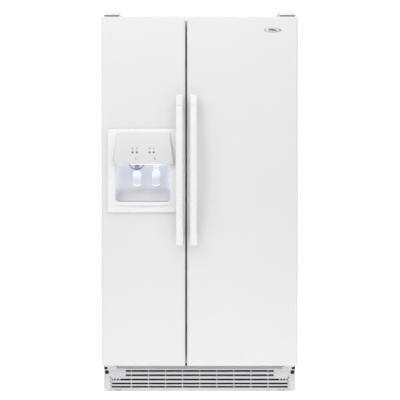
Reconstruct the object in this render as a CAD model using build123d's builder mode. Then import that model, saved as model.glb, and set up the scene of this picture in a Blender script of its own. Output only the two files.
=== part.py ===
from build123d import *
import os
from math import sqrt

os.makedirs("parts", exist_ok=True)

# Side by side refrigerator, in millimetres. +X is to the right seen from the front, -Y is the
# front, +Z is up, and the origin is on the floor under the middle of the whole refrigerator.

# ---- Driving dimensions ------------------------------------------------------------------
cabinet_half = 449            # half the cabinet's width
cabinet_front = -280
cabinet_back = 414
cabinet_foot = 30             # lower edge of the steel wrapper
cabinet_top = 1742
cover_top = 1765              # top of the hinge covers, the highest point
sheet = 1.0                   # steel wrapper and door skins
skin = 2.5                    # moulded inner liners
gap = 0.5                     # clearance between neighbouring foam blocks and skins

freezer_x = (-404, -92)       # inside of the freezer compartment
fridge_x = (-32, 404)         # inside of the fridge compartment
room_back = 365
room_floor = 190
room_top = 1690
step_y = 150                  # the floor steps up behind here, over the machine compartment
step_z = 300

door_front = -358
door_back = -292
door_z = (134, 1741)
freezer_door_x = (-451, -66)
fridge_door_x = (-58, 451)
door_edge = 10                # rounding of the doors' front edges
seal_back = -280.5            # rear face of the door gaskets
pin_x = 426                   # door hinge pins, left and right of the middle
pin_y = -325
top_pin = 4.0
bottom_pin = 5.0
running = 0.06                # radial clearance of a pin in its hole

dike_z = (205, 1675)          # raised border on the inside of each door
dike_back = -232
dike_wide = 28
freezer_dike_x = (-396, -112)
fridge_dike_x = (-17, 396)

handle_front = -420
handle_wide = 32
handle_thick = 22
handle_joints = (752, 1326)   # heights where the bar meets its end caps
handle_ends = (690, 1377)

recess_x = (-386, -134)       # dispenser opening
recess_z = (892, 1061)
recess_back = -305
bezel_x = (-424, -94)
bezel_z = (840, 1223)
bezel_front = -373
hood_front = -395
hood_z = (1061, 1205)
hood_foot_x = (-397, -115)
hood_head_x = (-378, -136)
ice_x = -290                  # middle of the ice chute and its paddle
water_x = -201                # middle of the water nozzle and its paddle
paddle_pivot = (-322, 1071)   # y and z

drawer_front = -130
freezer_drawer_front = -140


def block(x, y, z, mode=Mode.ADD):
    """Add a box between two limits along each axis."""
    with Locations(((x[0] + x[1]) / 2, (y[0] + y[1]) / 2, (z[0] + z[1]) / 2)):
        Box(abs(x[1] - x[0]), abs(y[1] - y[0]), abs(z[1] - z[0]), mode=mode)


def rod(start, direction, length, radius, mode=Mode.ADD):
    """Add a cylinder that starts at a point and runs in a direction."""
    with Locations(Plane(origin=start, z_dir=direction)):
        Cylinder(radius, length, align=(Align.CENTER, Align.CENTER, Align.MIN), mode=mode)


def inside(limits, margin):
    """Two limits, each moved inwards by a margin."""
    return (limits[0] + margin, limits[1] - margin)


# ---- Cabinet -----------------------------------------------------------------------------
def wrapper_outline(inset, plane, height):
    """Add or cut the cabinet's front outline, smaller by an inset, extruded towards the back."""
    half = cabinet_half - inset
    top = cabinet_top - inset
    with BuildSketch(plane) as outline:
        with BuildLine():
            Polyline((-half, cabinet_foot), (half, cabinet_foot), (half, top), (-half, top), close=True)
        make_face()
        fillet(outline.vertices().group_by(Axis.Y)[-1], 8 - min(inset, 4))
    return extrude(outline.sketch, amount=-height, mode=Mode.PRIVATE)


toe_top = 130                 # top of the dark toe board behind the base grille
front_plane = Plane.XZ.offset(-cabinet_front)
behind_flange = Plane.XZ.offset(-cabinet_front - sheet)
with BuildPart() as cabinet_wrapper:
    add(wrapper_outline(0, front_plane, cabinet_back - 2 - cabinet_front))
    add(wrapper_outline(sheet, behind_flange, cabinet_back - cabinet_front), mode=Mode.SUBTRACT)
    add(wrapper_outline(13, front_plane, 10), mode=Mode.SUBTRACT)
    foot_z = (cabinet_foot - 1, cabinet_foot + 5)
    block((-435, 435), (cabinet_front - 1, cabinet_back), foot_z, Mode.SUBTRACT)
    flange_x = (sheet - cabinet_half, cabinet_half - sheet)
    flange_y = (cabinet_front - 1, cabinet_front + 3)
    block(flange_x, flange_y, (cabinet_foot - 1, toe_top + 1), Mode.SUBTRACT)
cabinet_wrapper.part.label = "cabinet_wrapper"
export_step(cabinet_wrapper.part, "parts/cabinet_wrapper.step")

with BuildPart() as back_panel:
    block((-446, 446), (412.5, 413.5), (299, 1738))
    for height in (580, 980, 1380):
        block((-320, 320), (413.5, 414), (height - 6, height + 6))
back_panel.part.label = "back_panel"
export_step(back_panel.part, "parts/back_panel.step")

foam_y = (cabinet_front + 2.5, 411.5)
foam_floor = 131
with BuildPart() as insulation:
    for side in (-1, 1):
        block((side * 407, side * 447.5), foam_y, (foam_floor, room_top + 2))
    block((-447.5, 447.5), foam_y, (room_top + 3, cabinet_top - 1.5))
    fillet(insulation.edges().filter_by(Axis.Y).group_by(Axis.Z)[-1], 8)
    block((-406.5, 406.5), (room_back + 3, foam_y[1]), (step_z - 2, room_top + 2))
    block((-89, -35), (foam_y[0], step_y + 2), (room_floor - 2.5, room_top + 2))
    block((-89, -35), (step_y + 2.5, room_back + 2.5), (step_z - 2, room_top + 2))
    block((-406.5, 406.5), (foam_y[0], step_y + 2.5), (foam_floor, room_floor - 3))
    block((-406.5, 406.5), (step_y + 3, step_y + 40), (foam_floor, 260))
    block((-406.5, 406.5), (step_y + 3, foam_y[1]), (260.5, step_z - 3))
insulation.part.label = "insulation"
export_step(insulation.part, "parts/insulation.step")


def room_profile(start_x, margin, front):
    """Side profile of a compartment, larger by a margin, drawn in a plane across the width."""
    with BuildSketch(Plane.YZ.offset(start_x)) as profile:
        with BuildLine():
            Polyline(
                (front, room_floor - margin),
                (step_y + margin, room_floor - margin),
                (step_y + margin, step_z - margin),
                (room_back + margin, step_z - margin),
                (room_back + margin, room_top + margin),
                (front, room_top + margin),
                close=True,
            )
        make_face()
    return profile.sketch


def compartment_liner(room_x, flange_x):
    """Moulded liner: a thin shell open to the front, with a flat flange round its mouth."""
    with BuildPart() as liner:
        outer = room_profile(room_x[0] - skin, skin, cabinet_front)
        extrude(outer, amount=room_x[1] - room_x[0] + 2 * skin)
        block(flange_x, (cabinet_front, cabinet_front + 2), (140, 1727))
        inner = room_profile(room_x[0], 0, cabinet_front - 1)
        extrude(inner, amount=room_x[1] - room_x[0], mode=Mode.SUBTRACT)
    return liner


freezer_liner = compartment_liner(freezer_x, (-435, -89.5))
freezer_liner.part.label = "freezer_liner"
export_step(freezer_liner.part, "parts/freezer_liner.step")

fridge_liner = compartment_liner(fridge_x, (-34.5, 435))
fridge_liner.part.label = "fridge_liner"
export_step(fridge_liner.part, "parts/fridge_liner.step")

with BuildPart() as centre_rail:
    block((-89, -35), (cabinet_front, cabinet_front + 2), (140, 1727))
    fillet(centre_rail.edges().filter_by(Axis.Z).group_by(Axis.Y)[0], 1)
centre_rail.part.label = "centre_rail"
export_step(centre_rail.part, "parts/centre_rail.step")

# ---- Base: rails, cross members, brackets, rollers and legs -------------------------------
rail_z = 31
front_axle = (-235, 20)       # y and z
rear_axle = (378, 20)
axle_radius = 4
front_roller_radius = 18
rear_roller_radius = 20
roller_x = (408, 436)
leg_x = 385
leg_y = -262
toe_y = -275
adjuster = (434, 95)          # x and z of the roller adjusting screws

with BuildPart() as base_frame:
    for side in (-1, 1):
        block((side * 445.5, side * 447.5), (-278, 411), (rail_z, 130))
        block((side * 402, side * 445.5), (-240, 400), (rail_z + 22, rail_z + 24))
    for y, z in (front_axle, rear_axle):
        for side in (-1, 1):
            block((side * 403, side * 406), (y - 14, y + 14), (z - 8, rail_z + 22))
            block((side * 438, side * 441), (y - 14, y + 14), (z - 8, rail_z + 22))
            rod((side * 403, y, z), (side, 0, 0), 38, axle_radius)
    block((-446, 446), (toe_y - 2, toe_y), (26, toe_top))
    block((-401.5, 401.5), (toe_y, -248), (104, 106))
    for side in (-1, 1):
        rod((side * adjuster[0], toe_y - 2, adjuster[1]), (0, -1, 0), 12, 5.5)
    block((-401.5, 401.5), (192, 402), (rail_z + 10, rail_z + 12))
    block((-401.5, 401.5), (400, 402), (rail_z + 12, rail_z + 24))
    for side in (-1, 1):
        block((side * 370, side * 401), (toe_y, -248), (48, 52))
        block((side * 370, side * 401), (-250, -248), (52, 104))
        rod((side * leg_x, leg_y, 48), (0, 0, 1), 4, 6 + running, Mode.SUBTRACT)
base_frame.part.label = "base_frame"
export_step(base_frame.part, "parts/base_frame.step")


def roller_pair(axle, radius):
    """Two rollers on one line, each with a rounded tread and a plain bore."""
    bore = axle_radius + running
    with BuildPart() as rollers:
        for side in (-1, 1):
            middle = side * (roller_x[0] + roller_x[1]) / 2
            tread = radius - bore
            with BuildSketch(Plane.XY.offset(axle[1])) as half:
                with Locations((middle, axle[0] + bore + tread / 2)):
                    Rectangle(roller_x[1] - roller_x[0] - 4, tread)
                fillet(half.vertices().group_by(Axis.Y)[-1], 2)
            revolve(half.sketch, axis=Axis((0, axle[0], axle[1]), (1, 0, 0)))
    return rollers


front_rollers = roller_pair(front_axle, front_roller_radius)
front_rollers.part.label = "front_rollers"
export_step(front_rollers.part, "parts/front_rollers.step")

rear_rollers = roller_pair(rear_axle, rear_roller_radius)
rear_rollers.part.label = "rear_rollers"
export_step(rear_rollers.part, "parts/rear_rollers.step")

with BuildPart() as levelling_legs:
    for side in (-1, 1):
        rod((side * leg_x, leg_y, 0), (0, 0, 1), 8, 16)
        rod((side * leg_x, leg_y, 8), (0, 0, 1), 52, 6)
        with BuildSketch(Plane.XY.offset(8)) as nut:
            with Locations((side * leg_x, leg_y)):
                RegularPolygon(9, 6)
        extrude(amount=8)
    chamfer(levelling_legs.edges().filter_by(GeomType.CIRCLE).group_by(Axis.Z)[0], 1.5)
levelling_legs.part.label = "levelling_legs"
export_step(levelling_legs.part, "parts/levelling_legs.step")

# ---- Base grille -------------------------------------------------------------------------
grille_half = 447
grille_y = (-296, -282)
grille_z = (12, 120)
slot_rows = ((97.4, 349), (77.3, 349), (57.1, 415), (38.4, 415), (22.9, 415))
slot_high = 8.5
rib_pitch = 80
with BuildPart() as base_grille:
    block((-grille_half, grille_half), (grille_y[0], grille_y[0] + 3), grille_z)
    block((-grille_half, grille_half), grille_y, (grille_z[1] - 3, grille_z[1]))
    block((-388, 388), (grille_y[0] + 6, grille_y[0] + 8), (104, grille_z[1]))
    block((-388, 388), (grille_y[0] - 1, grille_y[0] + 6), (110, grille_z[1] + 1), Mode.SUBTRACT)
    block((-388, 388), (grille_y[0] + 3, grille_y[0] + 8), (104, 106))
    for side in (-1, 1):
        block((side * (grille_half - 3), side * grille_half), grille_y, grille_z)
        block((side * 436, side * grille_half), grille_y, (106, grille_z[1]), Mode.SUBTRACT)
        rod((side * adjuster[0], grille_y[0] - 1, adjuster[1] - 3), (0, 1, 0), 5, 9.5, Mode.SUBTRACT)
    for height, half in slot_rows:
        slot_z = (height - slot_high / 2, height + slot_high / 2)
        block((-half, half), (grille_y[0], grille_y[0] + 3), slot_z, Mode.SUBTRACT)
    for index in range(-4, 5):
        middle = index * rib_pitch
        block((middle - 1.5, middle + 1.5), (grille_y[0] + 0.5, grille_y[1]), (grille_z[0] + 4, 104))
base_grille.part.label = "base_grille"
export_step(base_grille.part, "parts/base_grille.step")

# ---- Hinges ------------------------------------------------------------------------------
plate_z = (cabinet_top, cabinet_top + 4)
screw_spots = ((-262, 12), (-228, -12), (-194, 12))
with BuildPart() as top_hinges:
    for side in (-1, 1):
        with BuildSketch(Plane.XY.offset(plate_z[0])) as plate:
            with BuildLine():
                Polyline(
                    (side * (pin_x - 14), pin_y - 14),
                    (side * (pin_x + 12), pin_y - 14),
                    (side * (pin_x + 12), -290),
                    (side * (pin_x + 10), -170),
                    (side * (pin_x - 42), -170),
                    (side * (pin_x - 42), -290),
                    close=True,
                )
            make_face()
            fillet(plate.vertices(), 8)
        extrude(amount=plate_z[1] - plate_z[0])
        rod((side * pin_x, pin_y, plate_z[0]), (0, 0, -1), 32, top_pin)
        for y, x in screw_spots:
            rod((side * (pin_x - 16 + x), y, plate_z[0]), (0, 0, 1), 4, 3.2, Mode.SUBTRACT)
top_hinges.part.label = "top_hinges"
export_step(top_hinges.part, "parts/top_hinges.step")

with BuildPart() as hinge_covers:
    for side in (-1, 1):
        cover_x = (side * 366, side * 442)
        with BuildPart(mode=Mode.PRIVATE) as cover:
            block(cover_x, (-352, -150), (cabinet_top + 0.2, cover_top))
            fillet(cover.edges().filter_by(Axis.Z), 4)
            fillet(cover.faces().sort_by(Axis.Z)[-1].edges(), 2.5)
            block(inside(sorted(cover_x), 3), (-349, -153), (cabinet_top, cover_top - 3), Mode.SUBTRACT)
            block((side * 300, side * 470), (-360, cabinet_front - 2), (cabinet_top, 1747), Mode.SUBTRACT)
        add(cover.part)
hinge_covers.part.label = "hinge_covers"
export_step(hinge_covers.part, "parts/hinge_covers.step")

with BuildPart() as bottom_hinges:
    for side in (-1, 1):
        block((side * 396, side * 438), (pin_y - 12, toe_y - 2.2), (126, 130))
        block((side * 396, side * 420), (toe_y - 4.4, toe_y - 2.2), (100, 126))
        rod((side * pin_x, pin_y, 130), (0, 0, 1), 3.5, 9)
        rod((side * pin_x, pin_y, 130), (0, 0, 1), 23, bottom_pin)
    fillet(bottom_hinges.edges().filter_by(Axis.Z).group_by(Axis.Y)[0], 6)
bottom_hinges.part.label = "bottom_hinges"
export_step(bottom_hinges.part, "parts/bottom_hinges.step")

with BuildPart() as screws:
    for side in (-1, 1):
        for y, x in screw_spots:
            spot = (side * (pin_x - 16 + x), y)
            with BuildSketch(Plane.XY.offset(plate_z[1])) as head:
                with Locations(spot):
                    RegularPolygon(5.5, 6)
            extrude(amount=4)
            rod((spot[0], spot[1], plate_z[1]), (0, 0, -1), 22, 2.6)
screws.part.label = "screws"
export_step(screws.part, "parts/screws.step")

# ---- Machine compartment ------------------------------------------------------------------
pan_top = rail_z + 12
compressor_spot = (-230, 305)
with BuildPart() as compressor:
    with BuildSketch(Plane.XY.offset(pan_top + 12)) as shell:
        with Locations(compressor_spot):
            Ellipse(92, 72)
    extrude(amount=128)
    fillet(compressor.edges().group_by(Axis.Z)[-1], 45)
    fillet(compressor.edges().group_by(Axis.Z)[0], 20)
    with BuildSketch(Plane.XY.offset(pan_top + 9)) as foot_plate:
        with Locations(compressor_spot):
            RectangleRounded(230, 120, 12)
            with GridLocations(200, 90, 2, 2):
                Circle(6, mode=Mode.SUBTRACT)
    extrude(amount=4)
    with BuildSketch(Plane.XY.offset(pan_top)) as feet:
        with Locations(compressor_spot):
            with GridLocations(200, 90, 2, 2):
                Circle(11)
    extrude(amount=9)
    rod((compressor_spot[0] + 60, compressor_spot[1], 120), (1, 0, 0), 55, 5)
    block((-345, -315), (285, 325), (90, 130))
compressor.part.label = "compressor"
export_step(compressor.part, "parts/compressor.step")

coil_x = (40, 330)
coil_y = (215, 245)
fan_centre = (-30, 250, 150)
with BuildPart() as condenser_coil:
    for row in range(7):
        height = 70 + 26 * row
        rod((coil_x[0], coil_y[0] + 8, height), (1, 0, 0), coil_x[1] - coil_x[0], 4)
        rod((coil_x[0], coil_y[1] - 8, height), (1, 0, 0), coil_x[1] - coil_x[0], 4)
    for index in range(24):
        x = coil_x[0] + 6 + index * 12
        block((x, x + 0.8), coil_y, (58, 238))
    block((coil_x[0], coil_x[0] + 2), (coil_y[0] - 3, coil_y[1] + 3), (pan_top, 240))
    block((coil_x[1] - 2, coil_x[1]), (coil_y[0] - 3, coil_y[1] + 3), (pan_top, 240))
    rod((fan_centre[0], fan_centre[1] + 20, fan_centre[2]), (0, 1, 0), 50, 30)
    rod((fan_centre[0], fan_centre[1] - 12, fan_centre[2]), (0, 1, 0), 34, 3)
    bracket_y = (fan_centre[1] + 40, fan_centre[1] + 44)
    block(inside((fan_centre[0], fan_centre[0]), -15), bracket_y, (pan_top, fan_centre[2] - 20))
condenser_coil.part.label = "condenser_coil"
export_step(condenser_coil.part, "parts/condenser_coil.step")


def fan(centre, radius, hub_radius, width, blades, bore):
    """An axial fan whose axis runs front to back: a hub with pitched flat blades."""
    with BuildPart() as wheel:
        rod((centre[0], centre[1] - width / 2, centre[2]), (0, 1, 0), width, hub_radius)
        with Locations(Plane(origin=centre, x_dir=(1, 0, 0), z_dir=(0, -1, 0))):
            with PolarLocations((radius + hub_radius) / 2 - 1, blades):
                Box(radius - hub_radius + 2, radius * 0.5, 2, rotation=(30, 0, 0))
        rod((centre[0], centre[1] - width, centre[2]), (0, 1, 0), 2 * width, bore, Mode.SUBTRACT)
    return wheel


condenser_fan = fan(fan_centre, 68, 20, 18, 5, 3 + running)
condenser_fan.part.label = "condenser_fan"
export_step(condenser_fan.part, "parts/condenser_fan.step")

inlet_spot = (374, 120)       # x and z of the household water inlet
with BuildPart() as machine_cover:
    block((-440, 440), (412.2, 413.7), (36, 298))
    for x in range(-300, 301, 120):
        for height in range(90, 211, 24):
            block((x - 45, x + 45), (411, 415), (height - 4, height + 4), Mode.SUBTRACT)
    rod((inlet_spot[0], 405, inlet_spot[1]), (0, 1, 0), 12, 9, Mode.SUBTRACT)
    rod((-392, 405, inlet_spot[1]), (0, 1, 0), 12, 7, Mode.SUBTRACT)
machine_cover.part.label = "machine_cover"
export_step(machine_cover.part, "parts/machine_cover.step")

inlet_radius = 5.5
with BuildPart() as water_valve:
    block((352, 396), (352, 392), (100, 140))
    fillet(water_valve.edges().filter_by(Axis.Y), 4)
    rod((inlet_spot[0], 392, inlet_spot[1]), (0, 1, 0), 28, inlet_radius)
    rod((inlet_spot[0], 392, inlet_spot[1]), (0, 1, 0), 8, 8)
    for x in (363, 385):
        rod((x, 362, 140), (0, 0, 1), 30, 9)
    rod((inlet_spot[0], 352, 110), (0, -1, 0), 18, 3.2)
water_valve.part.label = "water_valve"
export_step(water_valve.part, "parts/water_valve.step")

# ---- Fridge compartment --------------------------------------------------------------------
shelf_y = (-160, 345)
pane_thick = 4
pane_heights = (1400, 1150, 900, 668, 440)
fridge_shelf_x = inside(fridge_x, 3)
rim = 16
with BuildPart() as shelf_panes:
    for height in pane_heights:
        block(inside(fridge_shelf_x, rim - 4), inside(shelf_y, rim - 4), (height, height + pane_thick))
shelf_panes.part.label = "shelf_panes"
export_step(shelf_panes.part, "parts/shelf_panes.step")

with BuildPart() as shelf_frames:
    for height in pane_heights:
        block(fridge_shelf_x, shelf_y, (height - 14, height + 7))
        fillet(shelf_frames.edges().filter_by(Axis.X).group_by(Axis.Y)[0], 5)
        for margin, foot, head in ((rim, -15, 8), (rim - 4, 0, pane_thick), (3, -15, -3)):
            limits_z = (height + foot, height + head)
            block(inside(fridge_shelf_x, margin), inside(shelf_y, margin), limits_z, Mode.SUBTRACT)
shelf_frames.part.label = "shelf_frames"
export_step(shelf_frames.part, "parts/shelf_frames.step")


def drawer(x, y, z, wall):
    """An open-topped drawer with rounded corners and a moulded grip on its front."""
    with BuildPart() as tub:
        block(x, y, z)
        fillet(tub.edges().filter_by(Axis.Z), 12)
        fillet(tub.faces().sort_by(Axis.Z)[0].edges(), 8)
        offset(amount=-wall, openings=tub.faces().sort_by(Axis.Z)[-1])
        block((x[0] + 30, x[1] - 30), (y[0] - 8, y[0] + 1), (z[1] - 22, z[1] - 18))
        block((x[0] + 30, x[1] - 30), (y[0] - 8, y[0] - 5), (z[1] - 34, z[1] - 18))
    return tub


drawer_x = inside(fridge_x, 14)
upper_crisper = drawer(drawer_x, (drawer_front, 335), (478, 648), 3)
upper_crisper.part.label = "upper_crisper"
export_step(upper_crisper.part, "parts/upper_crisper.step")

lower_crisper = drawer(drawer_x, (drawer_front, 140), (194, 420), 3)
lower_crisper.part.label = "lower_crisper"
export_step(lower_crisper.part, "parts/lower_crisper.step")

control_y = (-110, 70)
control_z = (1612, 1690)
knob_spots = (90, 282)
knob_z = 1646
switch_z = 1683
switch_tip = -286.8           # just behind the closed door
switch_x = (-200, 110)
with BuildPart() as control_housing:
    with BuildSketch(Plane.YZ.offset(fridge_x[0] + 4)) as profile:
        with BuildLine():
            Polyline(
                (control_y[0], control_z[0]),
                (control_y[1], control_z[0]),
                (control_y[1] + 60, control_z[1]),
                (control_y[0], control_z[1]),
                close=True,
            )
        make_face()
        fillet(profile.vertices().group_by(Axis.X)[0].sort_by(Axis.Y)[0], 10)
    extrude(amount=fridge_x[1] - fridge_x[0] - 8)
    with Locations((fridge_x[0] + 4 + 214, 20, control_z[0])):
        Box(150, 70, 14, mode=Mode.SUBTRACT)
    for x in knob_spots:
        rod((x, control_y[0], knob_z), (0, -1, 0), 9, 3)
    for x in switch_x:
        block((x - 8, x + 8), (-276, -238), (switch_z - 6, room_top))
        rod((x, -276, switch_z), (0, 1, 0), 16, 3.5 + running, Mode.SUBTRACT)
control_housing.part.label = "control_housing"
export_step(control_housing.part, "parts/control_housing.step")

with BuildPart() as light_lenses:
    with Locations((fridge_x[0] + 4 + 214, 20, control_z[0] + 3)):
        Box(148, 68, 5)
    fillet(light_lenses.edges().filter_by(Axis.Z), 8)
    block((-330, -170), (250, 289), (1664, 1689))
light_lenses.part.label = "light_lenses"
export_step(light_lenses.part, "parts/light_lenses.step")


def dial(x):
    """A round thermostat dial with a raised grip, turning on a stub shaft."""
    with BuildPart() as knob:
        rod((x, control_y[0] - 1, knob_z), (0, -1, 0), 10, 15)
        fillet(knob.edges().group_by(Axis.Y)[0], 2)
        block((x - 2.5, x + 2.5), (control_y[0] - 18, control_y[0] - 10), (knob_z - 13, knob_z + 13))
        rod((x, control_y[0], knob_z), (0, -1, 0), 9.5, 3 + running, Mode.SUBTRACT)
    return knob


freezer_knob = dial(knob_spots[0])
freezer_knob.part.label = "freezer_knob"
export_step(freezer_knob.part, "parts/freezer_knob.step")

fridge_knob = dial(knob_spots[1])
fridge_knob.part.label = "fridge_knob"
export_step(fridge_knob.part, "parts/fridge_knob.step")


def switch_plunger(x):
    """A light switch's plunger: a stepped pin that the closing door pushes in."""
    with BuildPart() as plunger:
        rod((x, switch_tip, switch_z), (0, 1, 0), -266 - switch_tip, 3.5)
        fillet(plunger.edges().group_by(Axis.Y)[0], 1.5)
    return plunger


freezer_light_switch = switch_plunger(switch_x[0])
freezer_light_switch.part.label = "freezer_light_switch"
export_step(freezer_light_switch.part, "parts/freezer_light_switch.step")

fridge_light_switch = switch_plunger(switch_x[1])
fridge_light_switch.part.label = "fridge_light_switch"
export_step(fridge_light_switch.part, "parts/fridge_light_switch.step")

# ---- Freezer compartment -------------------------------------------------------------------
cover_y = (296, 300)
air_fan = (-248, 322, 830)
with BuildPart() as evaporator_cover:
    block(inside(freezer_x, 2), cover_y, (step_z + 2, 1240))
    for side in (-1, 1):
        rib_x = (air_fan[0] + side * 152, air_fan[0] + side * 154)
        block(rib_x, (cover_y[1], room_back - 2), (step_z + 2, 1240))
    rod((air_fan[0], cover_y[0] - 1, air_fan[2]), (0, 1, 0), 10, 58, Mode.SUBTRACT)
    for height in range(-40, 41, 16):
        half = sqrt(58 ** 2 - height ** 2)
        block((air_fan[0] - half, air_fan[0] + half), cover_y, (air_fan[2] + height - 2, air_fan[2] + height + 2))
    for height in range(1120, 1201, 20):
        block((-330, -166), (cover_y[0] - 1, cover_y[1] + 1), (height, height + 6), Mode.SUBTRACT)
evaporator_cover.part.label = "evaporator_cover"
export_step(evaporator_cover.part, "parts/evaporator_cover.step")

with BuildPart() as evaporator:
    for row in range(8):
        for y in (318, 342):
            rod((-380, y, 340 + 44 * row), (1, 0, 0), 264, 4.5)
    for index in range(28):
        x = -376 + index * 9.5
        block((x, x + 0.6), (306, 354), (326, 664))
    rod((air_fan[0], 340, air_fan[2]), (0, 1, 0), 24.5, 22)
    rod((air_fan[0], 312, air_fan[2]), (0, 1, 0), 30, 3)
evaporator.part.label = "evaporator"
export_step(evaporator.part, "parts/evaporator.step")

evaporator_fan = fan(air_fan, 54, 16, 14, 4, 3 + running)
evaporator_fan.part.label = "evaporator_fan"
export_step(evaporator_fan.part, "parts/evaporator_fan.step")

freezer_rack_x = inside(freezer_x, 3)
rack_y = (freezer_drawer_front, 292)
rack_heights = (1040, 840, 640, 460)
rack_wide = freezer_rack_x[1] - freezer_rack_x[0]
rack_deep = rack_y[1] - rack_y[0] - 6
with BuildPart() as freezer_shelves:
    for height in rack_heights:
        for y in inside(rack_y, 3):
            rod((freezer_rack_x[0], y, height), (1, 0, 0), rack_wide, 3)
        for x in inside(freezer_rack_x, 8):
            rod((x, rack_y[0] + 3, height), (0, 1, 0), rack_deep, 2.5)
        for index in range(14):
            x = freezer_rack_x[0] + 24 + index * 20
            rod((x, rack_y[0] + 3, height + 3), (0, 1, 0), rack_deep, 1.6)
        rod((freezer_rack_x[0] + 8, 80, height - 0.5), (1, 0, 0), rack_wide - 16, 2.4)
freezer_shelves.part.label = "freezer_shelves"
export_step(freezer_shelves.part, "parts/freezer_shelves.step")

basket_x = inside(freezer_x, 12)
with BuildPart() as freezer_basket:
    block(basket_x, (freezer_drawer_front, 140), (196, 400))
    fillet(freezer_basket.edges().filter_by(Axis.Z), 14)
    fillet(freezer_basket.faces().sort_by(Axis.Z)[0].edges(), 8)
    offset(amount=-3, openings=freezer_basket.faces().sort_by(Axis.Z)[-1])
    for z in range(232, 372, 20):
        block(inside(basket_x, 24), (freezer_drawer_front - 4, 150), (z, z + 10), Mode.SUBTRACT)
freezer_basket.part.label = "freezer_basket"
export_step(freezer_basket.part, "parts/freezer_basket.step")

bin_x = inside(freezer_x, 14)
bin_y = (freezer_drawer_front, 286)
bin_z = (1252, 1462)
with BuildPart() as ice_bin:
    block(bin_x, bin_y, bin_z)
    fillet(ice_bin.edges().filter_by(Axis.Z), 12)
    fillet(ice_bin.faces().sort_by(Axis.Z)[0].edges(), 10)
    offset(amount=-3, openings=ice_bin.faces().sort_by(Axis.Z)[-1])
    outlet_x = (ice_x - 32, ice_x + 32)
    block(outlet_x, (bin_y[0] - 1, bin_y[0] + 8), (bin_z[0] + 14, bin_z[0] + 74), Mode.SUBTRACT)
ice_bin.part.label = "ice_bin"
export_step(ice_bin.part, "parts/ice_bin.step")

with BuildPart() as ice_maker:
    block((-400, -370), (-20, 286), (1500, 1650))
    fillet(ice_maker.edges().filter_by(Axis.Y), 6)
    block((-370, -240), (20, 280), (1560, 1604))
    fillet(ice_maker.edges().filter_by(Axis.Y).group_by(Axis.X)[-1], 8)
    block((-366, -246), (26, 274), (1570, 1605), Mode.SUBTRACT)
    for index in range(1, 6):
        y = 20 + index * 43.3
        block((-366, -246), (y - 2, y + 2), (1570, 1600))
    block((-370, -230), (-20, 20), (1520, 1640))
ice_maker.part.label = "ice_maker"
export_step(ice_maker.part, "parts/ice_maker.step")

# ---- Doors -------------------------------------------------------------------------------
cutout_x = (-405, -115)       # opening in the freezer door's skin behind the dispenser
cutout_z = (866, 1190)


def door_box(x, inset):
    """Solid outline of a door, smaller by an inset, with rounded front edges."""
    with BuildPart(mode=Mode.PRIVATE) as solid:
        block(inside(x, inset), (door_front + inset, door_back), inside(door_z, inset))
        fillet(solid.faces().sort_by(Axis.Y)[0].edges(), door_edge - inset)
    return solid.part


def door_skin(x, hinge_x):
    """Painted steel door skin: a shallow tray, open at the back, with a small inturned edge."""
    with BuildPart() as tray:
        add(door_box(x, 0))
        add(door_box(x, sheet), mode=Mode.SUBTRACT)
        rod((hinge_x, pin_y, door_z[0] - 1), (0, 0, 1), 4, 8, Mode.SUBTRACT)
        rod((hinge_x, pin_y, door_z[1] + 1), (0, 0, -1), 4, 8, Mode.SUBTRACT)
    return tray


def door_liner(x, dike_x, hinge_x):
    """Inner door liner with its foam: a slab inside the skin and a raised border behind it."""
    with BuildPart() as slab:
        add(door_box(x, sheet + 0.2))
        block(dike_x, (door_back - 1, dike_back), dike_z)
        middle_z = inside(dike_z, dike_wide)
        block(inside(dike_x, dike_wide), (door_back, dike_back + 1), middle_z, Mode.SUBTRACT)
        fillet(slab.faces().sort_by(Axis.Y)[-1].edges(), 9)
        rod((hinge_x, pin_y, door_z[0]), (0, 0, 1), 26, bottom_pin + running, Mode.SUBTRACT)
        rod((hinge_x, pin_y, door_z[1]), (0, 0, -1), 34, top_pin + running, Mode.SUBTRACT)
    return slab


def door_gasket(x):
    """Magnetic seal: a closed rectangular ring with a rounded bellows lip."""
    with BuildPart() as ring:
        block(x, (door_back + 0.1, seal_back), (146, 1716))
        fillet(ring.edges().filter_by(Axis.Y), 6)
        block(inside(x, 13), (door_back, seal_back + 1), inside((146, 1716), 13), Mode.SUBTRACT)
        fillet(ring.faces().sort_by(Axis.Y)[-1].edges(), 3)
    return ring


bulge_z = (826, 1256)
throat_x = (-329, -247)       # passage for the ice chute through the door
with BuildPart() as freezer_door_skin:
    add(door_skin(freezer_door_x, -pin_x).part)
    block(cutout_x, (door_front - 1, door_front + 4), cutout_z, Mode.SUBTRACT)
freezer_door_skin.part.label = "freezer_door_skin"
export_step(freezer_door_skin.part, "parts/freezer_door_skin.step")

with BuildPart() as freezer_door_liner:
    add(door_liner(freezer_door_x, freezer_dike_x, -pin_x).part)
    block(inside(freezer_dike_x, dike_wide - 1), (door_back - 1, -262), bulge_z)
    housing_x = inside(recess_x, -5)
    housing_z = (recess_z[0] - 12, recess_z[1] + 7)
    block(housing_x, (door_front, recess_back + 3), housing_z, Mode.SUBTRACT)
    block(housing_x, (door_front, -308), (recess_z[1] + 6, recess_z[1] + 40), Mode.SUBTRACT)
    block(throat_x, (door_front, dike_back), (recess_z[1] + 6, 1250), Mode.SUBTRACT)
freezer_door_liner.part.label = "freezer_door_liner"
export_step(freezer_door_liner.part, "parts/freezer_door_liner.step")

freezer_gasket = door_gasket((-430, -70))
freezer_gasket.part.label = "freezer_gasket"
export_step(freezer_gasket.part, "parts/freezer_gasket.step")

fridge_door_skin = door_skin(fridge_door_x, pin_x)
fridge_door_skin.part.label = "fridge_door_skin"
export_step(fridge_door_skin.part, "parts/fridge_door_skin.step")

fridge_door_liner = door_liner(fridge_door_x, fridge_dike_x, pin_x)
fridge_door_liner.part.label = "fridge_door_liner"
export_step(fridge_door_liner.part, "parts/fridge_door_liner.step")

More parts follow.
